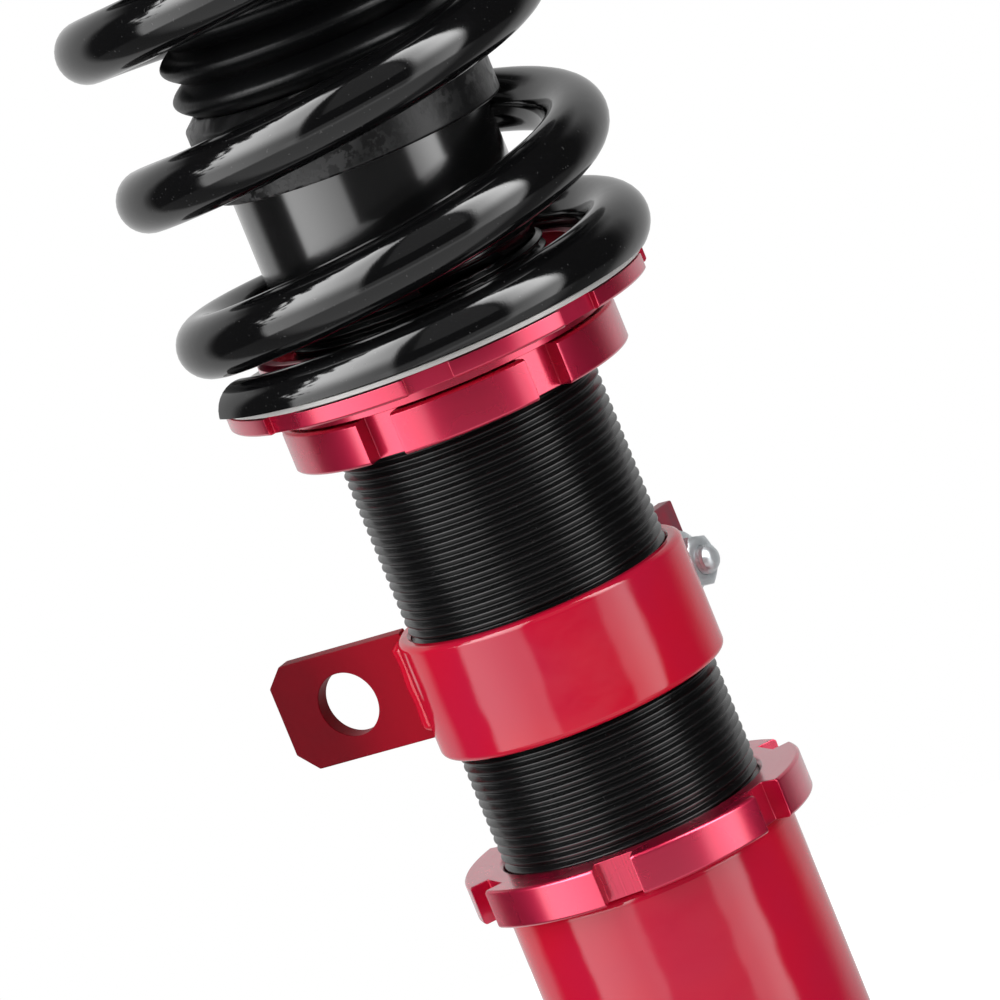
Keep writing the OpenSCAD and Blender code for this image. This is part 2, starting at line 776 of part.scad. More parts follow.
screw_x = 28;
screw_y = 28;

module camber_plate() {
    boss_z = ball_z - race_w / 2 - 3;
    race_r = race_d / 2 + run_gap;
    color("crimson") on_strut() difference() {
        union() {
            translate([0, 0, camber_z]) linear_extrude(camber_t) round_rect(camber_l, camber_w, 8);
            translate([0, 0, boss_z]) cylinder(r = race_d / 2 + 7, h = camber_z - boss_z + over);
        }
        translate([0, 0, boss_z - over]) cylinder(r = race_r, h = race_w + 3 + over + face_gap);
        translate([0, 0, ball_z]) cylinder(r = race_r - 2.5, h = camber_t + 2 * over);
        translate([0, 0, boss_z + 1.4]) cylinder(r = race_r + 1.5, h = 1.6);
        for (x = [-1, 1], y = [-1, 1]) translate([x * screw_x, y * screw_y, camber_z - over])
            cylinder(d = camber_screw_d + 2 * seat_gap, h = camber_t + 2 * over);
    }
}

module bearing_circlip() {
    low = ball_z - race_w / 2 - 1.6 + seat_gap;
    outer = race_d / 2 + run_gap + 1.5 - seat_gap;
    color("dimgray") on_strut() difference() {
        ring(outer, outer - 4, low, low + 1.5);
        translate([0, -4, low - over]) cube([race_d, 8, 2 + 2 * over]);
    }
}

module camber_screws() {
    head_z = top_z + top_t + face_gap;
    color("dimgray") on_strut() for (x = [-1, 1], y = [-1, 1]) translate([x * screw_x, y * screw_y, 0])
        difference() {
            union() {
                translate([0, 0, head_z]) cylinder(d = camber_head_d, h = camber_head_h);
                translate([0, 0, camber_z]) cylinder(d = camber_screw_d, h = head_z - camber_z + over);
            }
            translate([0, 0, head_z + camber_head_h - 4]) hex(6, 4 + over);
        }
}

// Rod opening and screw slots leave room for the camber travel
module top_plate_outline() {
    slot_w = camber_screw_d + 0.8;
    difference() {
        for (i = [0 : tower_studs - 1]) rotate(90 + i * 360 / tower_studs) lobe(top_d / 2, 13, stud_pcd / 2);
        round_rect(34 + 2 * camber_travel, 34, 16.9);
        for (x = [-1, 1], y = [-1, 1]) translate([x * screw_x, y * screw_y]) {
            square([2 * camber_travel, slot_w], center = true);
            for (end = [-1, 1]) translate([end * camber_travel, 0]) circle(d = slot_w);
        }
        for (i = [0 : tower_studs - 1]) rotate(90 + i * 360 / tower_studs) translate([stud_pcd / 2, 0])
            circle(d = tower_stud_d + 2 * (stud_shoulder + seat_gap));
    }
}

module top_plate() color("dimgray") on_strut() translate([0, 0, top_z]) linear_extrude(top_t) top_plate_outline();

// Studs with a thicker shoulder in the plate, so the thread starts at its upper face
module tower_stud_set() {
    r = tower_stud_d / 2;
    shoulder_r = r + stud_shoulder;
    tip = top_t + tower_stud_h;
    color("silver") on_strut() for (i = [0 : tower_studs - 1]) rotate(90 + i * 360 / tower_studs)
        translate([stud_pcd / 2, 0, top_z]) turned([
            [0, -tower_head_h], [r + 3, -tower_head_h], [r + 3, 0], [shoulder_r, 0], [shoulder_r, top_t],
            [r, top_t], [r, tip - 1.5], [r - 1.5, tip], [0, tip]
        ]);
}

lower_tube();
tube_cap();
knuckle_bracket();
gusset_plate();
lower_lock_ring();
threaded_body();
base_plug();
rod_guide();
rod_seal();
gland_nut();
boot_collar();
dust_boot();
gas_piston();
gas_piston_seal();
clamp_band();
link_lug();
lug_weld();
clamp_bolt();
clamp_nut();
slip_washer();
coil_spring();
spring_perch();
perch_lock_ring();
piston_rod();
damper_piston();
piston_band();
shim_stacks();
piston_nut();
bump_stop();
upper_spring_seat();
lower_spacer();
pillow_ball();
upper_spacer();
rod_nut();
adjuster_knob();
bearing_liner();
bearing_race();
camber_plate();
bearing_circlip();
camber_screws();
top_plate();
tower_stud_set();
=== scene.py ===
"""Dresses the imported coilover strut: turned parts, thread, spring, bellows, welds, finishes, stage and camera."""

import functools
import math

import bpy
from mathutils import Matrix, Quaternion, Vector


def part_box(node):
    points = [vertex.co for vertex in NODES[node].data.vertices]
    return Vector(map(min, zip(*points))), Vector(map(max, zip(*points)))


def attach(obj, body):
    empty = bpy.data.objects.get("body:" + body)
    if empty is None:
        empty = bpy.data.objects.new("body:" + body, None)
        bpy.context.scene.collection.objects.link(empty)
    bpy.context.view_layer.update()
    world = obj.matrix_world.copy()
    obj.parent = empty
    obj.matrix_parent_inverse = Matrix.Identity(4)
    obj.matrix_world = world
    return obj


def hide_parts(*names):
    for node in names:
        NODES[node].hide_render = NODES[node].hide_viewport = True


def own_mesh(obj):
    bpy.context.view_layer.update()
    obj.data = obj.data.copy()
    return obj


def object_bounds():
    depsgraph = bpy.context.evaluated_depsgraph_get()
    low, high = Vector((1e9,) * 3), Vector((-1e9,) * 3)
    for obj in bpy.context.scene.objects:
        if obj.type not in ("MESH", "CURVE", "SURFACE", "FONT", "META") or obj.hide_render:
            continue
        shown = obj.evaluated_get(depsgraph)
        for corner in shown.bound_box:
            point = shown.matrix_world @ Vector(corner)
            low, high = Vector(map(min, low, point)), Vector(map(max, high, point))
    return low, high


bl_info = {
    "name": "Coilover strut",
    "version": (1, 0, 0),
    "blender": (4, 5, 0),
    "location": "View3D > Sidebar > Coilover",
    "description": "Builds the visible pieces of a height-adjustable coilover strut round its packed frame",
    "category": "Object",
}

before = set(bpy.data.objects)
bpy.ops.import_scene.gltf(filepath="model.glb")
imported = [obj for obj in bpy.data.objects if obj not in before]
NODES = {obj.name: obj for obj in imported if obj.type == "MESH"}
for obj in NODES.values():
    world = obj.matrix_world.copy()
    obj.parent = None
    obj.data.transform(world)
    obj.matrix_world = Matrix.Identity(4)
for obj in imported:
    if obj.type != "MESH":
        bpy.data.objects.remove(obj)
CAD_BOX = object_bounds()
MM = 0.001
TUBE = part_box("lower_tube")
TUBE_RADIUS = (TUBE[1].x - TUBE[0].x) / 2
AXIS = Vector(((TUBE[0].x + TUBE[1].x) / 2, 0, 0))  # the strut's axis stands here
ORIGIN = Vector((0, 0, 0))
UP = (0, 0, 1)
WHITE = (1, 1, 1, 1)
MERGE = 1e-6  # points nearer than this are one


def low(node):
    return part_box(node)[0].z


def high(node):
    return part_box(node)[1].z


def ends(node):
    return low(node), high(node)


# ---- Sizes and colours that a user would change ----


def length(name, text, default):
    return bpy.props.FloatProperty(
        name=name, description=text, default=default, min=0, precision=5, subtype="DISTANCE", unit="LENGTH")


def colour(name, text, default):
    return bpy.props.FloatVectorProperty(
        name=name, description=text, default=default, min=0, max=1, size=3, subtype="COLOR")


class CoiloverSizes(bpy.types.PropertyGroup):
    thread_pitch: length("Thread pitch", "Rise of the body's thread in one turn", 2 * MM)
    thread_depth: length("Thread depth", "Depth of the body's thread", 1.1 * MM)
    thread_radius: length("Thread radius", "Radius over the thread's crests", 27.5 * MM)
    neck_radius: length("Neck radius", "Radius of the plain neck above the thread", 27.3 * MM)
    neck_length: length("Neck length", "Length of the plain neck above the thread", 37.8 * MM)
    bore_radius: length("Bore radius", "Radius of the damper body's bore", 23 * MM)
    turning_radius: length("Turning radius", "Bore of what turns on the thread", 27.55 * MM)
    ring_radius: length("Ring radius", "Outside radius of the perch's lock ring", 35.85 * MM)
    lower_ring_radius: length("Lower ring radius", "Outside radius of the lower lock ring", 36.25 * MM)
    perch_radius: length("Perch radius", "Outside radius of the spring perch", 44.8 * MM)
    spigot_radius: length("Spigot radius", "Radius of the spigots inside the spring", 35.2 * MM)
    coil_radius: length("Coil radius", "Radius of the spring's wire centre", 42.5 * MM)
    wire_radius: length("Wire radius", "Radius of the spring's wire", 6.5 * MM)
    spring_pitch: length("Spring pitch", "Rise of one active turn", 32 * MM)
    closed_pitch: length("Closed pitch", "Rise of one closed turn", 13 * MM)
    closed_turns: bpy.props.FloatProperty(
        name="Closed turns", description="Turns closed at each end", default=0.95)
    spring_turns: bpy.props.FloatProperty(
        name="Spring turns", description="Turns from end to end", default=7.8)
    first_turn: bpy.props.FloatProperty(
        name="Spring start", description="Where the wire's lower tip stands round the axis",
        default=math.radians(201), subtype="ANGLE", unit="ROTATION")
    ribs: bpy.props.IntProperty(name="Ribs", description="Ribs of the dust boot", default=22, min=4)
    rib_depth: length("Rib depth", "How far the boot's crests stand out of its valleys", 3.6 * MM)
    boot_wall: length("Boot wall", "Wall of the dust boot", 1.5 * MM)


class CoiloverColours(bpy.types.PropertyGroup):
    paint: colour("Paint", "Gloss red of the tube, bracket and clamp", (0.63, 0.0045, 0.028))
    anodised: colour("Anodised", "Red of the anodised rings and plates", (0.67, 0.0075, 0.06))
    body: colour("Body", "Satin black of the damper body", (0.004, 0.004, 0.0042))
    spring: colour("Spring", "Gloss black of the spring", (0.0035, 0.0035, 0.0038))
    rubber: colour("Rubber", "Black of the dust boot", (0.0035, 0.0036, 0.004))
    zinc: colour("Zinc", "Bright zinc of bolts and nuts", (0.62, 0.66, 0.68))
    floor: colour("Floor", "Pale floor under the strut", (0.8, 0.8, 0.8))


def sizes():
    return bpy.context.scene.coilover_sizes


def colours():
    return bpy.context.scene.coilover_colours


# ---- Modelling by hand: select, draw, spin, cut, round, smooth ----


def nothing_selected():
    active = bpy.context.view_layer.objects.active
    if active is not None and active.mode != "OBJECT":
        bpy.ops.object.mode_set(mode="OBJECT")
    bpy.ops.object.select_all(action="DESELECT")


def only(obj):
    nothing_selected()
    obj.select_set(True)
    bpy.context.view_layer.objects.active = obj


def named(name):
    obj = bpy.context.object
    obj.name = name
    obj.data.name = name
    return obj


def editing(obj, select="SELECT"):
    only(obj)
    bpy.ops.object.mode_set(mode="EDIT")
    bpy.ops.mesh.select_mode(type="VERT")
    bpy.ops.mesh.select_all(action=select)


def done():
    bpy.ops.object.mode_set(mode="OBJECT")
    return bpy.context.object


def modified(obj, kind, **settings):
    """Adds a modifier with these settings and applies it."""
    only(obj)
    modifier = obj.modifiers.new(kind.title(), kind)
    for key, value in settings.items():
        setattr(modifier, key, value)
    bpy.ops.object.modifier_apply(modifier=modifier.name)
    return obj


def placed(obj):
    """The object back at the origin, with its place kept in its mesh."""
    only(obj)
    bpy.ops.object.transform_apply(location=True, rotation=True, scale=True)
    return obj


def pivoted(obj, at):
    """Puts the object's origin at this point."""
    only(obj)
    bpy.context.scene.cursor.location = at
    bpy.ops.object.origin_set(type="ORIGIN_CURSOR")


def merged(obj):
    editing(obj)
    bpy.ops.mesh.remove_doubles(threshold=MERGE)
    return done()


def outwards(obj):
    """Merges the doubles and points the faces outwards."""
    editing(obj)
    bpy.ops.mesh.remove_doubles(threshold=MERGE)
    bpy.ops.mesh.normals_make_consistent(inside=False)
    return done()


def bevelled(obj, edge, angle, segments):
    return modified(obj, "BEVEL", width=edge, segments=segments, limit_method="ANGLE",
                    angle_limit=math.radians(angle))


def smooth(obj, edge=0.0, angle=35, segments=2):
    """Rounds the sharp edges and shades the rest smooth."""
    if edge:
        bevelled(obj, edge, angle, segments)
    only(obj)
    bpy.ops.object.shade_smooth_by_angle(angle=math.radians(angle))
    return modified(obj, "WEIGHTED_NORMAL", keep_sharp=True)


def drawn(name, points, at=AXIS, closed=True):
    """A profile of (radius, height) points, drawn by pulling one vertex from each to the next."""
    nothing_selected()
    first = points[0]
    bpy.ops.mesh.primitive_plane_add(size=MM, location=(at.x + first[0], at.y, first[1]))
    obj = named(name)
    bpy.ops.object.transform_apply(location=True)
    editing(obj)
    bpy.ops.mesh.merge(type="CENTER")
    path = points + [first] if closed else points
    for (r0, z0), (r1, z1) in zip(path, path[1:]):
        bpy.ops.mesh.extrude_region_move(TRANSFORM_OT_translate={"value": (r1 - r0, 0, z1 - z0)})
    return done()


def turned(name, points, steps=144, at=AXIS, closed=True):
    """Turns a profile round a vertical axis, as on a lathe."""
    obj = drawn(name, points, at, closed)
    editing(obj)
    bpy.ops.mesh.spin(steps=steps, angle=math.tau, center=at, axis=UP)
    done()
    return outwards(obj) if closed else merged(obj)


def rounded(r, z, edge, way=1):
    """A quarter round at a profile's outer corner, drawn upwards; way is -1 at a lower corner."""
    arc = [math.radians(a) for a in range(0, 91, 15)]
    return [(r - edge + edge * math.cos(a), z + way * (edge * math.sin(a) - edge)) for a in arc][::way]


def joined(name, *pieces):
    nothing_selected()
    for piece in pieces:
        piece.select_set(True)
    bpy.context.view_layer.objects.active = pieces[0]
    if len(pieces) > 1:
        bpy.ops.object.join()
    return named(name)


def cut(obj, *cutters, operation="DIFFERENCE"):
    """Cuts the cutters out of the piece, or joins them to it, and removes them."""
    for cutter in cutters:
        modified(obj, "BOOLEAN", operation=operation, solver="EXACT", object=cutter)
        bpy.data.objects.remove(cutter)


def block(size, at, turn=0.0, tilt=0.0):
    """A block, tilted and then turned about the vertical."""
    nothing_selected()
    bpy.ops.mesh.primitive_cube_add(size=1, location=at, rotation=(0, tilt, turn), scale=size)
    return placed(bpy.context.object)


def cylinder(name, radius, depth, z=0.0, vertices=48, turn=0.0):
    """An upright cylinder on the origin's vertical, with its middle at z."""
    nothing_selected()
    bpy.ops.mesh.primitive_cylinder_add(
        vertices=vertices, radius=radius, depth=depth, location=(0, 0, z), rotation=(0, 0, turn))
    return placed(named(name))


def wire(name, points, radius, resolution, swell=None, twist="MINIMUM"):
    """A round wire along the points; swell gives a factor of its radius at each."""
    nothing_selected()
    bpy.ops.curve.primitive_nurbs_path_add(location=(0, 0, 0))
    line = named(name).data
    line.splines.clear()
    spline = line.splines.new("POLY")
    spline.points.add(len(points) - 1)
    for i, point in enumerate(spline.points):
        point.co = (*points[i], 1)
        point.radius = swell[i] if swell else 1
    line.bevel_depth = radius
    line.bevel_resolution = resolution
    line.use_fill_caps = True
    line.twist_mode = twist
    bpy.ops.object.convert(target="MESH")
    return placed(bpy.context.object)


def round_axis(radius, azimuth, z, at=AXIS):
    """A point at this radius, azimuth in degrees and height."""
    a = math.radians(azimuth)
    return Vector((at.x + radius * math.cos(a), at.y + radius * math.sin(a), z))


def rim_slots(count, first, radius, width, depth, z0, z1):
    """Blocks that cut spanner slots into a rim."""
    deep = 10 * MM
    made = []
    for i in range(count):
        azimuth = first + i * 360 / count
        at = round_axis(radius - depth + deep / 2, azimuth, (z0 + z1) / 2)
        made.append(block((deep, width, z1 - z0), at, math.radians(azimuth)))
    return joined("slots", *made)


def cad_copy(name, node, edge, body, material, slot):
    """A dressed copy of a CAD node, its triangles merged, its edges rounded and its round faces smooth."""
    only(NODES[node])
    bpy.ops.object.duplicate()
    obj = named(name)
    obj.parent = None
    for key in list(obj.keys()):
        del obj[key]
    obj.data.materials.clear()
    editing(obj)
    bpy.ops.mesh.remove_doubles(threshold=2 * MERGE)
    bpy.ops.mesh.customdata_custom_splitnormals_clear()
    bpy.ops.mesh.dissolve_limited(angle_limit=math.radians(0.5))
    bpy.ops.mesh.normals_make_consistent(inside=False)
    done()
    dressed(smooth(obj, edge), body, material, slot, node)


def dressed(obj, body, material, slot, *nodes):
    """Gives a finished piece its material and body, and hides the CAD nodes that it stands for. The slot is not
    used.
    """
    obj.data.materials.clear()
    obj.data.materials.append(material)
    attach(obj, body)
    if nodes:
        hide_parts(*nodes)


# ---- Materials ----


class Wire:
    """A socket with arithmetic: each operator adds its Math node."""

    def __init__(self, maker, socket):
        self.maker, self.socket = maker, socket

    def math(self, operation, *values):
        return self.maker.add("Math", {"operation": operation}, dict(enumerate(values)))

    def __add__(self, other):
        return self.math("ADD", self, other)

    def __sub__(self, other):
        return self.math("SUBTRACT", self, other)

    def __rsub__(self, other):
        return self.math("SUBTRACT", other, self)

    def __mul__(self, other):
        return self.math("MULTIPLY", self, other)

    __radd__, __rmul__ = __add__, __mul__

    def larger(self, other):
        return self.math("MAXIMUM", self, other)

    def rises(self, start, end):
        """0 before start and 1 after end, with a smooth step between."""
        return self.maker.add("MapRange", {"interpolation_type": "SMOOTHSTEP"},
                              {"Value": self, "From Min": start, "From Max": end})

    def falls(self, start, end):
        return 1 - self.rises(start, end)

    def between(self, start, full, fade, end):
        """0 before start and after end, and 1 from full to fade."""
        return self.rises(start, full) * self.falls(fade, end)


class Nodes:
    """Makes the nodes of one tree."""

    def __init__(self, owner):
        owner.use_nodes = True
        self.tree = owner.node_tree
        self.tree.nodes.clear()

    def add(self, kind, settings=None, inputs=None, output=0):
        """Any node: its type, its settings, then the values or links of its sockets. Gives one output."""
        node = self.tree.nodes.new("ShaderNode" + kind)
        for key, value in (settings or {}).items():
            setattr(node, key, value)
        for key, value in (inputs or {}).items():
            if isinstance(value, Wire):
                self.tree.links.new(value.socket, node.inputs[key])
            else:
                node.inputs[key].default_value = value
        if not node.outputs:
            return None
        return Wire(self, node.outputs[output])

    def parts(self, where):
        """The x, y and z of a vector."""
        split = self.add("SeparateXYZ", None, {0: where})
        return [Wire(self, output) for output in split.socket.node.outputs]

    def blend(self, mask, a, b):
        """Colour a where the mask is 0 and b where it is 1."""
        full = [c if isinstance(c, Wire) else (*c, 1) for c in (a, b)]
        return self.add("Mix", {"data_type": "RGBA"}, {0: mask, 6: full[0], 7: full[1]}, 2)

    def where(self):
        return self.add("TexCoord", output="Object")

    def place(self):
        """The place on the strut: itself, its distance from the axis, angle round it, and height."""
        where = self.where()
        x, y, z = self.parts(where)
        x = x - AXIS.x
        radius = x.math("POWER", x * x + y * y, 0.5)
        return where, radius, x.math("ARCTAN2", y, x), z

    def vector(self, x, y, z):
        return self.add("CombineXYZ", None, {0: x, 1: y, 2: z})

    def noise(self, where, scale, detail=2.0, roughness=0.5):
        return self.add("TexNoise", None, {
            "Vector": where, "Scale": scale, "Detail": detail, "Roughness": roughness})

    def bump(self, height, depth, strength):
        """Relief that is this many millimetres deep."""
        return self.add("Bump", None, {"Height": height, "Distance": depth * MM, "Strength": strength})

    def surface(self, **inputs):
        """The principled shader, with its sockets by name, and the material's output."""
        sockets = {key.replace("_", " "): value for key, value in inputs.items()}
        self.add("OutputMaterial", None, {"Surface": self.add("BsdfPrincipled", None, sockets)})


def finish(make):
    """Each finish is made once, on first use."""
    @functools.cache
    def get():
        material = bpy.data.materials.new(make.__name__)
        make(Nodes(material))
        return material
    return get


def shade(value, factor):
    return tuple(min(1.0, c * factor) for c in value)


def grained(n, grain, dark, light, roughness, relief, **more):
    """A finish whose colour, roughness and relief all follow one grain."""
    n.surface(Base_Color=n.blend(grain, dark, light), Roughness=roughness[0] + grain * roughness[1],
              Normal=n.bump(grain, *relief), **more)


def stoved(n, where):
    """Colour, roughness and relief of stoved paint: slow shifts of depth, orange peel and long waves."""
    red = colours().paint
    depth = n.noise(where, 26, 3)
    base = n.blend(depth.rises(0.35, 0.75), red, (red[0] * 0.86, red[1] * 1.5, red[2] * 1.5))
    peel = n.noise(where, 260, 1) + n.noise(where, 70, 1) * 13 + n.noise(where, 900, 1) * 0.15
    return base, 0.065 + depth * 0.08, n.bump(peel, 0.04, 0.55)


@finish
def gloss_red_paint(n):
    base, roughness, normal = stoved(n, n.where())
    n.surface(Base_Color=base, Roughness=roughness, Normal=normal)


@finish
def clamp_red_paint(n):
    """The gloss paint, greyed by dust on the clamp's ears."""
    where, radius, _, _ = n.place()
    base, roughness, normal = stoved(n, where)
    dust = radius.rises(31.8 * MM, 33.5 * MM) * (0.55 + n.noise(where, 500, 2) * 0.6)
    n.surface(Base_Color=n.blend(dust, base, (0.2, 0.05, 0.07)), Roughness=roughness + dust * 0.26, Normal=normal)


@finish
def dull_red_paint_with_painted_shade(n):
    """The same paint, duller, with painted shade: darker than the gloss red, and darker still towards the lug's end,
    with some random tone.
    """
    where, radius, _, _ = n.place()
    red = colours().paint
    depth = n.noise(where, 60, 4)
    # painted shade: darker towards the lug's outer end, mixed with a little random tone from the noise
    painted_shade_and_tone = radius.rises(34 * MM, 56 * MM) * 0.8 + depth.falls(0.3, 0.75) * 0.2
    n.surface(
        # painted shade: the paint held between 0.56 and 0.2 of the gloss red
        Base_Color=n.blend(painted_shade_and_tone, shade(red, 0.56), shade(red, 0.2)),
        Roughness=0.3 + depth * 0.2, Specular_IOR_Level=0.07,
        Normal=n.bump(n.noise(where, 700, 2), 0.04, 0.6))


def anodised(n, worn, roughness, relief, **more):
    """Dyed aluminium, a little deeper and bluer where it is worn."""
    red = colours().anodised
    n.surface(
        Base_Color=n.blend(worn * 0.5, red, (red[0] * 0.8, red[1] * 0.9, red[2] * 1.25)),
        Roughness=roughness, Normal=relief, **more)


@finish
def red_anodised(n):
    """Fine turning lines round the axis, and cutter marks on slot floors."""
    where, radius, angle, z = n.place()
    turning = n.noise(n.vector(radius * 2600, angle * 0.6, z * 2600), 1.0, 2)
    ring_floor = radius.between(31.4 * MM, 31.6 * MM, 32.2 * MM, 32.6 * MM)
    perch_floor = radius.between(42.8 * MM, 43 * MM, 43.3 * MM, 43.6 * MM)
    milled = ring_floor + perch_floor
    chatter = n.noise(n.vector(angle * 90, 0.0, z * 8), 1.0, 1)
    worn = n.noise(where, 70, 3)
    relief = n.bump(turning * (1 - milled) + chatter * milled * 1.6, 0.03, 0.6)
    anodised(n, worn, 0.23 + worn * 0.1, relief,
             Metallic=0.72, Coat_Weight=1.0, Coat_Roughness=0.16, Coat_IOR=1.6)


@finish
def plate_anodised(n):
    """Milled flat."""
    where = n.where()
    worn = n.noise(where, 60, 3)
    anodised(n, worn, 0.28 + worn * 0.1, n.bump(n.noise(where, 1500, 2), 0.02, 0.5),
             Metallic=0.72, Coat_Weight=0.9, Coat_Roughness=0.25)


@finish
def seat_anodised(n):
    """Blasted before it was dyed."""
    where = n.where()
    worn = n.noise(where, 60, 3)
    anodised(n, worn, 0.42 + worn * 0.12, n.bump(n.noise(where, 2200, 2), 0.03, 0.6),
             Metallic=0.6, Specular_IOR_Level=0.35)


@finish
def satin_black_coat(n):
    """Black coat over fine turning, with specks of dust, and glossier on the plain neck."""
    where, radius, angle, z = n.place()
    black = colours().body
    turning = n.noise(n.vector(angle * 0.8, radius * 1500, z * 3200), 1.0, 2)
    cloud = n.noise(where, 90, 3)
    neck = high("threaded_body") - sizes().neck_length
    plain = z.rises(neck, neck + 2 * MM)
    specks = n.noise(where, 1400, 1).rises(0.70, 0.78)
    n.surface(
        Base_Color=n.blend(specks * 0.25, n.blend(cloud, black, shade(black, 1.8)), (0.08, 0.08, 0.08)),
        Roughness=0.2 + cloud * 0.1 - plain * 0.06, Specular_IOR_Level=0.34,
        Coat_Weight=plain, Coat_Roughness=0.12, Coat_IOR=1.75, Normal=n.bump(turning, 0.025, 0.5))


@finish
def gloss_black_powder(n):
    """Thick powder coat: deep gloss, slight orange peel, a few specks of dust."""
    where = n.where()
    peel = n.noise(where, 190, 1) + n.noise(where, 2400, 1) * 0.12
    dust = n.noise(where, 1700, 0).rises(0.8, 0.83)
    n.surface(
        Base_Color=n.blend(dust * 0.4, colours().spring, (0.1, 0.1, 0.1)),
        Roughness=0.05 + n.noise(where, 60, 2) * 0.06, Specular_IOR_Level=0.56,
        Normal=n.bump(peel, 0.05, 0.5))


@finish
def soft_rubber(n):
    """Moulded rubber, dull, with a fine light speckle on the crests: a painted highlight, partly dust."""
    where, radius, _, _ = n.place()
    grain = n.noise(where, 1300, 2)
    # painted highlight: lighter specks only on the crests, where light catches the ribs, partly dust
    dust = n.noise(where, 2100, 1).rises(0.6, 0.72) * radius.rises(29.6 * MM, 30.8 * MM)
    n.surface(
        Base_Color=n.blend(dust * 0.35, colours().rubber, (0.04, 0.04, 0.041)),
        Roughness=0.25 + grain * 0.16, Specular_IOR_Level=0.2, Normal=n.bump(grain, 0.05, 0.6))


@finish
def mottled_black(n):
    """Matt blotched coating."""
    where = n.where()
    blotch = n.noise(where, 420, 4, 0.62)
    patch = n.noise(where, 40, 2).rises(0.46, 0.62)
    light = blotch.rises(0.47, 0.56) * (0.12 + patch * 0.88)
    n.surface(
        Base_Color=n.blend(light, (0.006, 0.006, 0.0065), (0.085, 0.085, 0.086)),
        Roughness=0.3 + light * 0.3, Specular_IOR_Level=0.4, Normal=n.bump(blotch, 0.1, 0.7))


@finish
def black_steel(n):
    """Satin black plate with a fine powder grain and lighter worn patches."""
    where = n.where()
    grain = n.noise(where, 1100, 2)
    worn = n.noise(where, 55, 4).rises(0.55, 0.8)
    n.surface(
        Base_Color=n.blend(worn * 0.4, (0.014, 0.014, 0.015), (0.05, 0.05, 0.05)),
        Roughness=0.36 + grain * 0.16, Normal=n.bump(grain, 0.06, 0.6))


@finish
def bright_zinc(n):
    """Plated steel with a soft bluish bloom."""
    zinc, bloom = colours().zinc, n.noise(n.where(), 420, 3)
    grained(n, bloom, shade(zinc, 0.8), shade(zinc, 1.12), (0.24, 0.2), (0.04, 0.6), Metallic=0.5)


@finish
def rolled_steel(n):
    """Bright steel strip with fine rings from turning."""
    _, radius, angle, z = n.place()
    rings = n.noise(n.vector(radius * 3000, angle * 2, z * 5000), 1.0, 2)
    grained(n, rings, (0.6, 0.585, 0.57), (0.76, 0.745, 0.73), (0.4, 0.12), (0.03, 0.5), Metallic=0.3)


@finish
def hard_chrome(n):
    _, radius, angle, z = n.place()
    polish = n.noise(n.vector(angle * 3, radius * 500, z * 2500), 1.0, 1)
    grained(n, polish, (0.66, 0.67, 0.69), (0.8, 0.8, 0.82), (0.07, 0.05), (0.01, 0.4), Metallic=1.0)


@finish
def machined_aluminium(n):
    _, radius, angle, z = n.place()
    rings = n.noise(n.vector(radius * 2200, angle, z * 2200), 1.0, 2)
    grained(n, rings, (0.6, 0.6, 0.61), (0.8, 0.8, 0.81), (0.25, 0.12), (0.03, 0.5), Metallic=1.0)


@finish
def bronze_liner(n):
    weave = n.noise(n.where(), 1600, 2)
    grained(n, weave, (0.16, 0.075, 0.035), (0.28, 0.15, 0.07), (0.5, 0.0), (0.05, 0.5))


@finish
def bump_foam(n):
    cells = n.noise(n.where(), 1500, 3)
    grained(n, cells, (0.012, 0.012, 0.012), (0.045, 0.045, 0.045), (0.85, 0.0), (0.1, 0.8))


# ---- Pieces ----


def wire_rise(t):
    """Height of the spring's wire after t turns: slow in the closed turns and steeper between them."""
    s = sizes()
    bend = 0.06  # the turns over which the pitch changes

    def ramp(u):
        return (u + math.sqrt(u * u + bend ** 2)) / 2
    steep = s.spring_pitch - s.closed_pitch
    return s.closed_pitch * t + steep * (ramp(t - s.closed_turns) - ramp(t - s.spring_turns + s.closed_turns))


def coil_spring():
    """Round wire wound with closed ends, ground flat at both."""
    s = sizes()
    base, top = ends("coil_spring")
    steps = int(96 * s.spring_turns)
    turns = [s.spring_turns * i / steps for i in range(steps + 1)]
    points = [round_axis(s.coil_radius, math.degrees(s.first_turn) + 360 * t, base + wire_rise(t)) for t in turns]
    obj = wire("coil_spring_wire", points, s.wire_radius, 14, twist="Z_UP")
    for z, keep_above in ((base, True), (top, False)):
        editing(obj)
        bpy.ops.mesh.bisect(plane_co=(0, 0, z), plane_no=UP, use_fill=True,
                            clear_inner=keep_above, clear_outer=not keep_above)
        done()
    outwards(obj)
    washer, beyond = s.perch_radius + 0.2 * MM, s.coil_radius + 12 * MM
    for z, way in ((base, 1), (top, -1)):
        outside, slope = z - 2 * MM * way, z + 2.1 * MM * way
        cut(obj, turned("eased", [(washer, z), (washer, outside), (beyond, outside), (beyond, slope)], 192))
    smooth(obj, 0.25 * MM, 50)
    dressed(obj, "perch_carrier", gloss_black_powder(), "spring_black", "coil_spring")
    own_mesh(obj)


def dust_boot():
    """Bellows: one rib turned, then stacked and given its wall."""
    s = sizes()
    base, top = ends("dust_boot")
    step = (top - base) / s.ribs
    valley = s.neck_radius - 0.1 * MM
    count = 14  # facets up one rib
    rib = [(valley + s.rib_depth * math.sin(math.pi * i / count), base + step * i / count)
           for i in range(count + 1)]
    obj = turned("dust_boot_bellows", rib, 120, closed=False)
    modified(obj, "ARRAY", count=s.ribs, use_relative_offset=False, use_constant_offset=True,
             constant_offset_displace=(0, 0, step), use_merge_vertices=True, merge_threshold=MERGE)
    outwards(obj)
    modified(obj, "SOLIDIFY", thickness=s.boot_wall, offset=-1, use_even_offset=False)
    smooth(obj, 0, 60)
    dressed(obj, "damper_body", soft_rubber(), "boot_rubber", "dust_boot")
    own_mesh(obj)


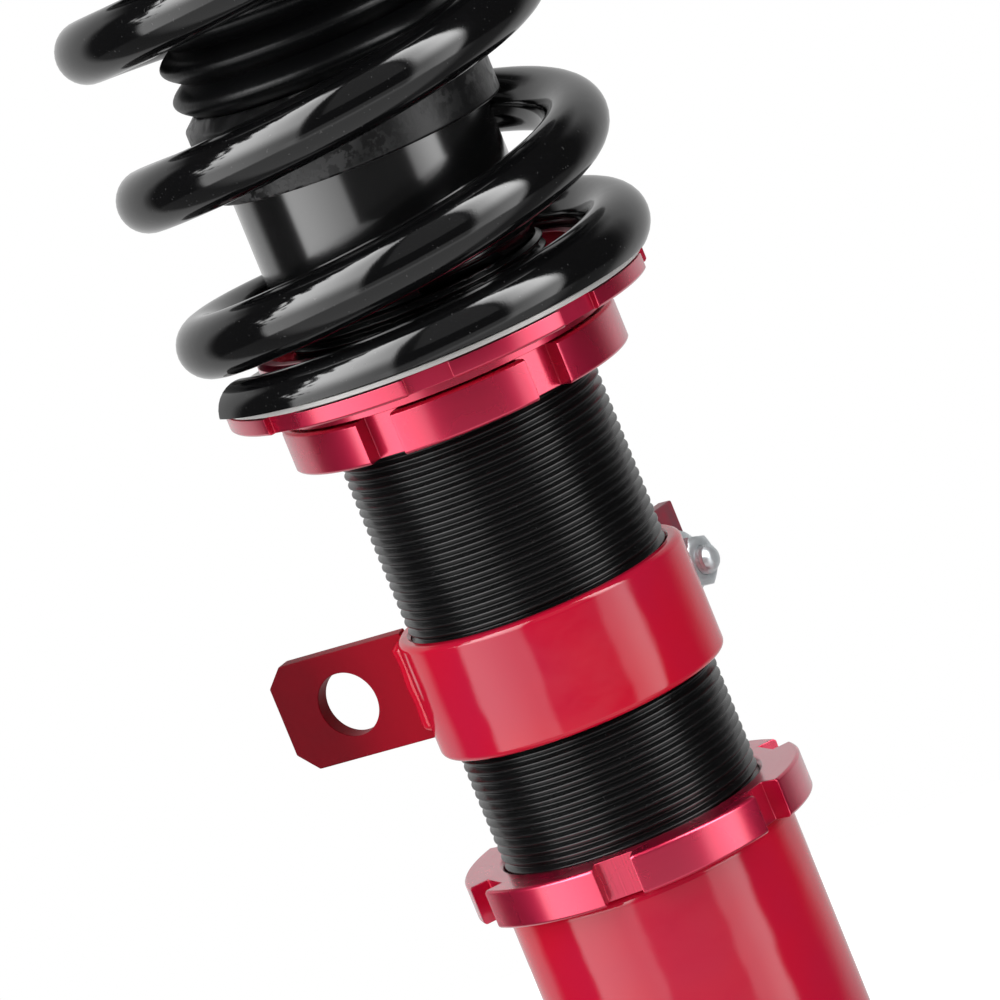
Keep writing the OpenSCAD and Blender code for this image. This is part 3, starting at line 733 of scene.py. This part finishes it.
def boot_collar():
    """Collar over the neck: lower lip, wide top chamfer."""
    base, top = ends("boot_collar")
    inner, bore = sizes().neck_radius + 0.05 * MM, sizes().bore_radius
    outer, roof = inner + 3.3 * MM, top - 2 * MM
    obj = turned("boot_collar_sleeve", [
        (inner, base), (outer - 0.5 * MM, base), (outer - 0.15 * MM, base + 0.25 * MM), (outer, base + 0.7 * MM),
        (outer, top - 2.6 * MM), (outer - 0.2 * MM, top - 2.2 * MM), (outer - 2.4 * MM, top - 0.25 * MM),
        (outer - 2.76 * MM, top), (bore, top), (bore, roof), (inner, roof)])
    smooth(obj, 0.12 * MM, 25)
    dressed(obj, "damper_body", mottled_black(), "collar_black", "boot_collar")


def threaded(name, profile, pitch, z0, z1, rests, at=AXIS, steps=96):
    """A threaded skin from z0 to z1, bridged to the plain pieces that end within reach of it."""
    reach = 0.6 * MM
    start = z0 - pitch
    skin = drawn(name, [(r, start + t * pitch) for t, r in profile], at, closed=False)
    pivoted(skin, at)
    modified(skin, "SCREW", angle=math.tau, screw_offset=pitch, iterations=math.ceil((z1 - z0) / pitch) + 2,
             steps=steps, render_steps=steps, axis="Z", use_merge_vertices=True, merge_threshold=MERGE)
    placed(skin)
    for z, above in ((z0, True), (z1, False)):
        editing(skin)
        bpy.ops.mesh.remove_doubles(threshold=MERGE)
        bpy.ops.mesh.bisect(plane_co=(0, 0, z), plane_no=UP, clear_inner=above, clear_outer=not above)
        done()
    obj = joined(name, skin, *rests)
    for z in (z0, z1):
        editing(obj, "DESELECT")
        bpy.ops.mesh.select_non_manifold(
            extend=False, use_wire=False, use_boundary=True, use_multi_face=False,
            use_non_contiguous=False, use_verts=False)
        done()
        rim = [e.index for e in obj.data.edges
               if e.select and all(abs(obj.data.vertices[v].co.z - z) <= reach for v in e.vertices)]
        editing(obj, "DESELECT")
        bpy.ops.mesh.select_mode(type="EDGE")
        done()
        for i in rim:
            obj.data.edges[i].select = True
            for v in obj.data.edges[i].vertices:
                obj.data.vertices[v].select = True
        bpy.ops.object.mode_set(mode="EDIT")
        bpy.ops.mesh.bridge_edge_loops()
        done()
    outwards(obj)
    return smooth(obj, 0, 60)


def rolled_thread(root, crest):
    """The profile of a small rolled thread, as parts of its pitch and radii."""
    return [(0.0, root), (0.1, root), (0.44, crest), (0.58, crest), (0.92, root), (1.0, root)]


def damper_body():
    """The body's long thread, its run-out groove and plain neck, and the bore inside."""
    s = sizes()
    base, top = ends("threaded_body")
    foot = 78 * MM  # the plain length that stands in the tube
    thread_top = top - s.neck_length
    thread_base = base + foot
    crest, depth = s.thread_radius, s.thread_depth
    root = crest - depth
    profile = [(0.0, root), (0.2, root), (0.49, crest - 0.1 * depth), (0.54, crest), (0.66, crest),
               (0.71, crest - 0.1 * depth), (1.0, root)]
    neck, bore = s.neck_radius, s.bore_radius
    rest = turned("neck", [
        (root, thread_top - 0.1 * MM), (root, thread_top + 1.5 * MM), (neck - 0.1 * MM, thread_top + 2 * MM),
        (neck, thread_top + 2.3 * MM), (neck, top - MM), (neck - 0.3 * MM, top - 0.3 * MM),
        (neck - MM, top), (bore, top), (bore, base), (crest - MM, base), (crest, base + MM),
        (crest, thread_base - 0.5 * MM)], 96, closed=False)
    obj = threaded("damper_body_thread_and_neck", profile, s.thread_pitch,
                   thread_base, thread_top - 0.4 * MM, [rest])
    dressed(obj, "damper_body", satin_black_coat(), "body_black", "threaded_body")


def lock_ring(name, node, body, r, first):
    """Lock ring with broken edges and six spanner slots, the first at this azimuth."""
    inner = sizes().turning_radius
    z0, z1 = ends(node)
    c, lead = 0.5 * MM, 0.8 * MM
    obj = turned(name, [
        (inner, z0 + lead), (inner + lead, z0), (r - c, z0), (r, z0 + c),
        (r, z1 - c), (r - c, z1), (inner + lead, z1), (inner, z1 - lead)], 180)
    cut(obj, rim_slots(6, first, r, 8 * MM, 4.4 * MM, z0 - 5 * MM, z1 + 5 * MM))
    smooth(obj, 0.22 * MM, 30)
    dressed(obj, body, red_anodised(), "anodised_red", node)


def spring_perch():
    """Slotted flange on a low hub, with the spring's spigot above."""
    s = sizes()
    base, top = ends("spring_perch")
    washer = low("slip_washer")
    flange, seat = base + 3 * MM, washer - 0.3 * MM
    rim, inner = s.perch_radius, s.turning_radius
    hub, spigot = s.ring_radius - 1.5 * MM, s.spigot_radius
    obj = turned("spring_perch_flange", [
        (inner, base), (hub, base), (hub, flange), (rim - 0.5 * MM, flange), (rim, flange + 0.5 * MM),
        (rim, seat), (spigot, seat), (spigot, top - MM), (spigot - MM, top),
        (spigot - 3 * MM, top), (spigot - 3 * MM, washer), (inner, washer)], 216)
    cut(obj, rim_slots(8, 264.2, rim, 9.6 * MM, 1.8 * MM, flange - MM, washer))
    smooth(obj, 0.18 * MM, 30)
    dressed(obj, "perch", red_anodised(), "anodised_red", "spring_perch")


def slip_washer():
    z0, z1 = ends("slip_washer")
    r, inner = sizes().perch_radius, sizes().spigot_radius + 0.3 * MM
    obj = turned("slip_washer_disc", [(inner, z0), (r, z0), (r, z1), (inner, z1)], 216)
    smooth(obj, 0.2 * MM, 30, 3)
    dressed(obj, "perch_carrier", rolled_steel(), "washer_steel", "slip_washer")


def lower_tube():
    """Lower tube with a rounded mouth."""
    z0, z1 = ends("lower_tube")
    r, inner = TUBE_RADIUS, sizes().turning_radius
    obj = turned("lower_tube_barrel", [
        (inner, z0 + 0.5 * MM), (inner + 0.5 * MM, z0), (r - 0.8 * MM, z0), (r, z0 + 0.8 * MM),
        *rounded(r, z1, 2 * MM), (inner + 0.4 * MM, z1), (inner, z1 - 0.4 * MM)])
    smooth(obj, 0, 30)
    dressed(obj, "bracket", gloss_red_paint(), "tube_red", "lower_tube")


def bead(centre_line, radius, ripple, dip):
    """A weld bead along a line of points, thinner at its ends, with a ripple for each dip of the rod."""
    steps_per_mm = 1.6
    dense = []
    travelled = 0.0
    for a, b in zip(centre_line, centre_line[1:]):
        span = (b - a).length
        count = max(1, round(span / MM * steps_per_mm))
        for i in range(count):
            dense.append((a.lerp(b, i / count), travelled + span * i / count))
        travelled += span
    dense.append((centre_line[-1], travelled))
    swell = []
    for _, along in dense:
        ends = min(1.0, (min(along, travelled - along) / (radius * 0.8)) + 0.35)
        swell.append(ends * (1 + ripple * math.sin(along / dip * math.tau)))
    obj = wire("bead", [at for at, _ in dense], radius, 3, swell)
    outwards(obj)
    return smooth(obj, 0, 60)


def moved(obj, turn, shift):
    """Turns a piece that was made upright and carries it to its place."""
    pivoted(obj, ORIGIN)
    obj.rotation_mode = "QUATERNION"
    obj.rotation_quaternion = turn
    obj.location = shift
    return placed(obj)


CLAMP_AZIMUTH = 52
CLAMP_BOLT_RADIUS = 38.6 * MM  # from the strut's axis to the bolt's
BOLT_RADIUS, BOLT_PLAY = 3 * MM, 0.05 * MM
EAR_INSIDE, EAR_OUTSIDE = 3 * MM, 6 * MM  # from the middle of the gap to an ear's faces
LUG_AZIMUTH = 149
LUG_FACES = (8.3 * MM, 4.3 * MM)  # the lug's faces, beside its radial line


def across_ears():
    """The turn from upright to the clamp bolt's direction."""
    return Quaternion(UP, math.radians(CLAMP_AZIMUTH + 90)) @ Quaternion((0, 1, 0), math.radians(90))


def clamp_band():
    """The band, turned with full round edges and split, and its two drilled ears."""
    z0, z1 = ends("clamp_band")
    middle, tall = (z0 + z1) / 2, z1 - z0
    inner, lead = sizes().turning_radius, 0.6 * MM
    outer, edge = inner + 2.99 * MM, 1.4 * MM
    obj = turned("clamp_band_rounded", [
        (inner, z0 + lead), (inner + lead, z0), *rounded(outer, z0, edge, -1),
        *rounded(outer, z1, edge), (inner + lead, z1), (inner, z1 - lead)])
    facing = math.radians(CLAMP_AZIMUTH)
    along = Vector((-math.sin(facing), math.cos(facing), 0))
    thick = EAR_OUTSIDE - EAR_INSIDE + MM
    for way in (1, -1):
        shift = along * way * (EAR_OUTSIDE - thick / 2)
        ear = block((15 * MM, thick, tall), round_axis(36.5 * MM, CLAMP_AZIMUTH, middle) + shift, facing)
        corner = round_axis(44 * MM, CLAMP_AZIMUTH, z0)
        cut(ear, block((9 * MM, 30 * MM, 30 * MM), corner, facing, math.radians(-38)))
        bevelled(ear, 0.45 * MM, 35, 3)
        cut(obj, ear, operation="UNION")
    cut(obj, block((24 * MM, 2 * EAR_INSIDE, 40 * MM), round_axis(37 * MM, CLAMP_AZIMUTH, middle), facing))
    hole = cylinder("bolt_hole", BOLT_RADIUS + BOLT_PLAY, 20 * MM)
    cut(obj, moved(hole, across_ears(), round_axis(CLAMP_BOLT_RADIUS, CLAMP_AZIMUTH, middle)))
    outwards(obj)
    smooth(obj, 0, 30)
    dressed(obj, "link_bracket", clamp_red_paint(), "tube_red", "clamp_band")


def lug_weld():
    """A rippled bead on each side of the lug."""
    z0, z1 = ends("link_lug")
    band = sizes().turning_radius + 3 * MM
    turn = Quaternion(UP, math.radians(LUG_AZIMUTH))
    beads = []
    for side, radius in zip(LUG_FACES, (2.6 * MM, 2.2 * MM)):
        root = turn @ Vector((math.sqrt(band ** 2 - side ** 2), side, 0))
        line = [root + Vector((AXIS.x, 0, z)) for z in (z0 + 1.4 * MM, z1 - 1.4 * MM)]
        beads.append(bead(line, radius, 0.05, 8.5 * MM))
    obj = joined("lug_weld_beads", *beads)
    dressed(obj, "link_bracket", gloss_red_paint(), "tube_red", "lug_weld")


def clamp_fasteners():
    """Bolt with a domed, threaded end, and its nut, both with a serrated flange."""
    at = round_axis(CLAMP_BOLT_RADIUS, CLAMP_AZIMUTH, sum(ends("clamp_band")) / 2)
    r, root = BOLT_RADIUS, BOLT_RADIUS - 0.4 * MM
    end, under = -EAR_OUTSIDE - 9 * MM, EAR_OUTSIDE + 5 * MM
    tip = turned("tip", [
        (root, end + MM), (r * 0.72, end + 0.45 * MM), (r * 0.4, end + 0.08 * MM), (0, end)], 48, ORIGIN, False)
    upper = turned("upper", [(0, under), (r, under), (r, -MM), (root, -1.6 * MM)], 48, ORIGIN, False)
    shank = threaded("shank", rolled_thread(root, r), MM, end + 1.2 * MM, -2 * MM, [tip, upper], ORIGIN, 36)
    bolt = moved(joined("clamp_bolt_plated", shank, hexagon("hex_head", 1, 0.0)), across_ears(), at)
    dressed(bolt, "link_bracket", bright_zinc(), "zinc_steel", "clamp_bolt")
    nut = moved(hexagon("clamp_nut_plated", -1, r + BOLT_PLAY), across_ears(), at)
    dressed(nut, "link_bracket", bright_zinc(), "zinc_steel", "clamp_nut")


def hexagon(name, way, hole):
    """A rounded hexagon on a serrated flange, at an ear's face; way is its side, and hole its bore's radius."""
    flats, height, flange, rim = 10 * MM, 6 * MM, 1.4 * MM, 7.1 * MM
    start, top, teeth_round = EAR_OUTSIDE, EAR_OUTSIDE + height, 24

    def lathe(part, points):
        return turned(name + part, [(r, way * z) for r, z in points], 72, ORIGIN)
    core = cylinder(name + "_hex", flats / math.sqrt(3), height, way * (start + height / 2), 6, 0.3)
    cut(core, lathe("_cap", [
        (0, start - MM), (flats * 0.72, start - MM), (flats * 0.72, top - 1.5 * MM), (flats * 0.44, top), (0, top)]),
        operation="INTERSECT")
    base = lathe("_flange", [
        (0, start), (rim - 0.2 * MM, start), (rim, start + 0.2 * MM), (rim, start + 0.6 * flange),
        (rim - 0.3 * MM, start + flange * 0.9), (flats * 0.5, start + flange * 1.5), (0, start + flange * 1.5)])
    teeth = []
    for i in range(teeth_round):
        a = math.tau * i / teeth_round
        where = (rim * math.cos(a), rim * math.sin(a), way * (start + flange / 2))
        teeth.append(block((0.5 * MM, 0.6 * MM, 3 * flange), where, a))
    cut(base, joined("teeth", *teeth))
    cut(core, base, operation="UNION")
    if hole:
        cut(core, cylinder("bore", hole, 4 * height, way * start))
    outwards(core)
    smooth(core, 0.12 * MM, 40)
    return joined(name, core)


def bracket_welds():
    """Rippled beads where the knuckle bracket's edges meet the tube."""
    r, step, out = TUBE_RADIUS, 16 * MM, 0.7 * MM  # the bracket's edge climbs a step from its back
    z0, z1 = ends("knuckle_bracket")
    beads = []
    for edge, way in ((z1 - step, 1), (z0 + step, -1)):
        line = []
        for azimuth in range(74, 287, 4):
            x = r * math.cos(math.radians(azimuth))
            climb = max(0.0, (x + r - 12 * MM) / r) * step
            line.append(round_axis(r + out, azimuth, edge + way * (climb + out)))
        beads.append(bead(line, 1.7 * MM, 0.1, 1.9 * MM))
    dressed(joined("bracket_weld_beads", *beads), "bracket", gloss_red_paint(), "tube_red")


def tower_studs():
    """Studs with a round head, a shoulder in the plate and a rolled thread above it."""
    z0, z1 = ends("tower_stud_set")
    plate = high("top_plate")
    r, root, circle = 5 * MM, 4.4 * MM, 72 * MM
    head, shoulder, under = r + 3 * MM, r + 0.5 * MM, z0 + 3 * MM
    studs = []
    for azimuth in (90, 210, 330):
        at = round_axis(circle, azimuth, 0)
        foot = turned("foot", [
            (0, z0), (head - 0.4 * MM, z0), (head, z0 + 0.4 * MM), (head, under), (shoulder, under),
            (shoulder, plate), (r, plate + 0.2 * MM), (r, plate + 1.5 * MM), (root, plate + 2 * MM)], 64, at, False)
        tip = turned("tip", [
            (root, z1 - 1.6 * MM), (root - MM, z1 - 0.3 * MM), (root - 1.6 * MM, z1), (0, z1)], 64, at, False)
        studs.append(threaded("stud", rolled_thread(root, r), 1.5 * MM, plate + 2.4 * MM, z1 - 1.9 * MM,
                              [foot, tip], at, 48))
    obj = joined("tower_studs_threaded", *studs)
    dressed(obj, "top", bright_zinc(), "zinc_steel", "tower_stud_set")


def piston_rod():
    """Chromed rod with its stepped tail, and a threaded upper stud bored for the adjuster."""
    z0, z1 = ends("piston_rod")
    piston, hub, nut = high("shim_stacks"), high("bump_stop"), high("rod_nut")
    r, stud, tail, root = 10 * MM, 7 * MM, 6 * MM, 6.35 * MM
    bore, floor = 2.55 * MM, z1 - 24 * MM
    rod = turned("rod", [
        (0, z0), (tail - 0.5 * MM, z0), (tail, z0 + 0.5 * MM), (tail, piston), (r - 0.3 * MM, piston),
        (r, piston + 0.5 * MM), (r, hub - 0.3 * MM), (r - 0.3 * MM, hub), (stud, hub), (stud, nut - 1.5 * MM),
        (root, nut - 1.1 * MM)], 96, closed=False)
    tip = turned("tip", [
        (root, z1 - 1.2 * MM), (root - 0.8 * MM, z1), (bore, z1), (bore, floor), (0, floor)], 96, closed=False)
    obj = threaded("piston_rod_chromed", rolled_thread(root, stud), 1.5 * MM, nut - 0.7 * MM, z1 - 1.5 * MM,
                   [rod, tip], steps=64)
    dressed(obj, "rod", hard_chrome(), "rod_chrome", "piston_rod")


# ---- Operators ----


class MakeSpring(bpy.types.Operator):
    """Winds the coil spring and sets its slip washer under it"""
    bl_idname = "coilover.make_spring"
    bl_label = "Coil spring"

    def execute(self, context):
        coil_spring()
        slip_washer()
        return {"FINISHED"}


class MakeBoot(bpy.types.Operator):
    """Moulds the dust boot and its collar"""
    bl_idname = "coilover.make_boot"
    bl_label = "Dust boot"

    def execute(self, context):
        dust_boot()
        boot_collar()
        return {"FINISHED"}


class MakeBody(bpy.types.Operator):
    """Cuts the damper body's thread, turns its neck and rod, and finishes what is inside"""
    bl_idname = "coilover.make_body"
    bl_label = "Damper body"

    def execute(self, context):
        damper_body()
        piston_rod()
        for material, nodes in (
                (satin_black_coat, ("base_plug",)),
                (machined_aluminium, ("rod_guide", "gas_piston", "damper_piston")),
                (soft_rubber, ("rod_seal", "gas_piston_seal")),
                (bright_zinc, ("gland_nut", "shim_stacks", "piston_nut")),
                (bronze_liner, ("piston_band",)),
                (bump_foam, ("bump_stop",))):
            for node in nodes:
                NODES[node].data.materials[0] = material()
        return {"FINISHED"}


class MakeRings(bpy.types.Operator):
    """Turns the two lock rings and the spring perch"""
    bl_idname = "coilover.make_rings"
    bl_label = "Rings and perch"

    def execute(self, context):
        s = sizes()
        lock_ring("lower_lock_ring_slotted", "lower_lock_ring", "lower_ring", s.lower_ring_radius, 258.1)
        lock_ring("perch_lock_ring_slotted", "perch_lock_ring", "perch_ring", s.ring_radius, 240.2)
        spring_perch()
        return {"FINISHED"}


class MakeClamp(bpy.types.Operator):
    """Forms the link clamp: band, lug, welds, bolt and nut"""
    bl_idname = "coilover.make_clamp"
    bl_label = "Link clamp"

    def execute(self, context):
        clamp_band()
        cad_copy("link_lug_plate", "link_lug", 0.35 * MM, "link_bracket", dull_red_paint_with_painted_shade(), "tube_red")
        clamp_fasteners()
        lug_weld()
        return {"FINISHED"}


class MakeBracket(bpy.types.Operator):
    """Turns the lower tube and forms the knuckle bracket"""
    bl_idname = "coilover.make_bracket"
    bl_label = "Lower tube and bracket"

    def execute(self, context):
        lower_tube()
        for node, name, material in (
                ("knuckle_bracket", "knuckle_bracket_plate", gloss_red_paint),
                ("gusset_plate", "gusset_plate_rounded", gloss_red_paint),
                ("tube_cap", "tube_cap_disc", dull_red_paint_with_painted_shade)):
            cad_copy(name, node, 0.5 * MM, "bracket", material(), "tube_red")
        bracket_welds()
        return {"FINISHED"}


class MakeMount(bpy.types.Operator):
    """Finishes the upper seat, the pillow ball, the camber mount and its studs"""
    bl_idname = "coilover.make_mount"
    bl_label = "Top mount"

    def execute(self, context):
        for node, body, material, slot, edge in (
                ("upper_spring_seat", "rod", seat_anodised, "anodised_red", 0.4),
                ("lower_spacer", "rod", bright_zinc, "zinc_steel", 0.3),
                ("pillow_ball", "rod", hard_chrome, "rod_chrome", 0.2),
                ("upper_spacer", "rod", bright_zinc, "zinc_steel", 0.3),
                ("rod_nut", "rod", bright_zinc, "zinc_steel", 0.3),
                ("adjuster_knob", "knob", red_anodised, "anodised_red", 0.2),
                ("bearing_liner", "liner", bronze_liner, "ptfe_bronze", 0.0),
                ("bearing_race", "race", bright_zinc, "zinc_steel", 0.3),
                ("camber_plate", "camber_carrier", plate_anodised, "anodised_red", 0.6),
                ("bearing_circlip", "camber_carrier", black_steel, "black_steel", 0.1),
                ("camber_screws", "camber_carrier", black_steel, "black_steel", 0.4),
                ("top_plate", "top", black_steel, "black_steel", 0.8)):
            cad_copy(node + "_finished", node, edge * MM, body, material(), slot)
        tower_studs()
        return {"FINISHED"}


class SetStage(bpy.types.Operator):
    """Lays the floor and sets the world, the lamps and the camera"""
    bl_idname = "coilover.set_stage"
    bl_label = "Stage"

    def execute(self, context):
        scene = context.scene
        scene.view_settings.view_transform = "Standard"
        self.floor()
        self.world(scene)
        self.lamps()
        self.camera(scene)
        return {"FINISHED"}

    def floor(self):
        """A pale disc that is clear from below and to glossy rays."""
        nothing_selected()
        bpy.ops.mesh.primitive_circle_add(
            vertices=96, radius=0.75, fill_type="NGON", location=(AXIS.x, 0, CAD_BOX[0].z - 0.2 * MM))
        obj = placed(named("floor"))
        material = bpy.data.materials.new("pale_floor")
        n = Nodes(material)
        seen = n.add("LightPath", output="Is Camera Ray")
        mirrored = n.add("LightPath", output="Is Glossy Ray")
        diffuse = n.add("BsdfDiffuse", None, {"Color": (*colours().floor, 1)})
        glow = n.add("Emission", None, {"Color": WHITE, "Strength": seen * 0.42})
        both = n.add("AddShader", None, {0: diffuse, 1: glow})
        hidden = n.add("NewGeometry", output="Backfacing").larger(mirrored)
        clear = n.add("BsdfTransparent")
        n.add("OutputMaterial", None, {"Surface": n.add("MixShader", None, {0: hidden, 1: both, 2: clear})})
        obj.data.materials.append(material)

    def world(self, scene):
        """White to the camera, soft panels to glossy rays and a plain level to the rest; angles in degrees."""
        world = bpy.data.worlds.new("studio")
        scene.world = world
        world.cycles.sampling_method = "NONE"
        n = Nodes(world)
        way = n.add("TexCoord", output="Generated")
        x, y, z = n.parts(way)
        turn = x.math("ARCTAN2", x, y * -1) * math.degrees(1)
        rise = z.math("ARCSINE", z) * math.degrees(1)
        aside = turn.math("ABSOLUTE", turn)

        def panel(a0, a1, e0, e1, soft=1.5):
            return (turn.between(a0 - soft, a0 + soft, a1 - soft, a1 + soft)
                    * rise.between(e0 - soft, e0 + soft, e1 - soft, e1 + soft))

        strong = 3.2 + rise.rises(0, 35) * 8.5
        torn = (n.noise(way, 11, 2, 0.5) - 0.5) * rise.rises(2, 16) * 55
        left = panel(torn - 79, -24, -24, 78, 2.5) * (0.42 + turn.falls(-74, -14) * 0.43) * strong
        right = panel(37, 67, -24, 76, 3) * (0.35 + turn.rises(30, 66) * 0.65) * strong
        middle = panel(-13, 32, 18, 80) * 0.3
        haze = turn.between(-38, -22, 34, 50) * rise.between(-32, -24, -13.2, -9) * 0.52
        far_left = turn.falls(-128, -114) * rise.falls(30, 42) * 0.62
        far_right = turn.rises(106, 138) * rise.falls(30, 42) * 0.6
        back = aside.rises(158, 170) * rise.between(0, 8, 34, 46) * 0.5
        ground = rise.falls(-26, -20) * (0.12 + aside.falls(62, 84) * 0.6)
        glossy = left + right + middle + haze + far_left.larger(far_right).larger(back).larger(ground) + 0.04
        seen, mirrored, through = (n.add("LightPath", output=f"Is {kind} Ray")
                                   for kind in ("Camera", "Glossy", "Transmission"))
        plain = seen.larger(through)
        around = 0.59 + turn.falls(-80, 110) * 0.28
        strength = plain + (1 - plain) * (mirrored * glossy + (1 - mirrored) * around)
        background = n.add("Background", None, {"Color": WHITE, "Strength": strength})
        n.add("OutputWorld", None, {"Surface": background})

    def lamps(self):
        """Soft lamps, by azimuth and elevation in degrees, distance, power and size."""
        centre = Vector((AXIS.x, 0, 0.25))
        for name, azimuth, elevation, distance, power, size in (
                ("left_softbox", -50, 32, 1.3, 4.6, (0.7, 1.0)),
                ("right_softbox", 56, 26, 1.3, 1.2, (0.5, 1.0)),
                ("top_softbox", 5, 74, 1.3, 3.0, (0.8, 0.8)),
                ("back_softbox", 170, 40, 1.4, 2.2, (1.0, 0.8))):
            a, e = math.radians(azimuth), math.radians(elevation)
            away = Vector((math.sin(a) * math.cos(e), -math.cos(a) * math.cos(e), math.sin(e)))
            nothing_selected()
            bpy.ops.object.light_add(type="AREA", location=centre + away * distance)
            lamp = bpy.context.object
            lamp.name = name
            lamp.data.shape = "RECTANGLE"
            lamp.data.size, lamp.data.size_y = size
            lamp.data.energy = power
            lamp.rotation_mode = "QUATERNION"
            lamp.rotation_quaternion = away.to_track_quat("Z", "Y")
            lamp.visible_glossy = False
            lamp.visible_camera = False

    def camera(self, scene):
        """A long lens that looks a little down on the strut and leans sideways; angles in degrees."""
        down, lean, aside = 10.16, -22.24, 0.015
        nothing_selected()
        bpy.ops.object.camera_add(location=(-0.056, -1.7576, 0.5527))
        camera = bpy.context.object
        camera.name = "studio_camera"
        camera.rotation_mode = "QUATERNION"
        level = Quaternion((1, 0, 0), math.radians(90 - down))
        camera.rotation_quaternion = (
            Quaternion(UP, math.radians(aside)) @ level @ Quaternion(UP, math.radians(lean)))
        camera.data.sensor_width = 36
        camera.data.lens = 321.7
        camera.data.clip_start, camera.data.clip_end = 0.05, 30
        scene.camera = camera


class CoiloverPanel(bpy.types.Panel):
    """Lists the steps that build the strut"""
    bl_idname = "VIEW3D_PT_coilover"
    bl_label = "Coilover strut"
    bl_space_type = "VIEW_3D"
    bl_region_type = "UI"
    bl_category = "Coilover"

    def draw(self, context):
        for step in STEPS:
            self.layout.operator(step.bl_idname)
        for group in (context.scene.coilover_sizes, context.scene.coilover_colours):
            for key in group.bl_rna.properties.keys():
                if key not in ("rna_type", "name"):
                    self.layout.prop(group, key)


STEPS = (SetStage, MakeBracket, MakeRings, MakeBody, MakeClamp, MakeSpring, MakeBoot, MakeMount)
CLASSES = (CoiloverSizes, CoiloverColours, *STEPS, CoiloverPanel)


def register():
    for kind in CLASSES:
        bpy.utils.register_class(kind)
    bpy.types.Scene.coilover_sizes = bpy.props.PointerProperty(type=CoiloverSizes)
    bpy.types.Scene.coilover_colours = bpy.props.PointerProperty(type=CoiloverColours)


def unregister():
    del bpy.types.Scene.coilover_colours
    del bpy.types.Scene.coilover_sizes
    for kind in reversed(CLASSES):
        bpy.utils.unregister_class(kind)


def main():
    register()
    for step in STEPS:
        group, name = step.bl_idname.split(".")
        getattr(getattr(bpy.ops, group), name)()
    nothing_selected()


if __name__ == "__main__":
    main()
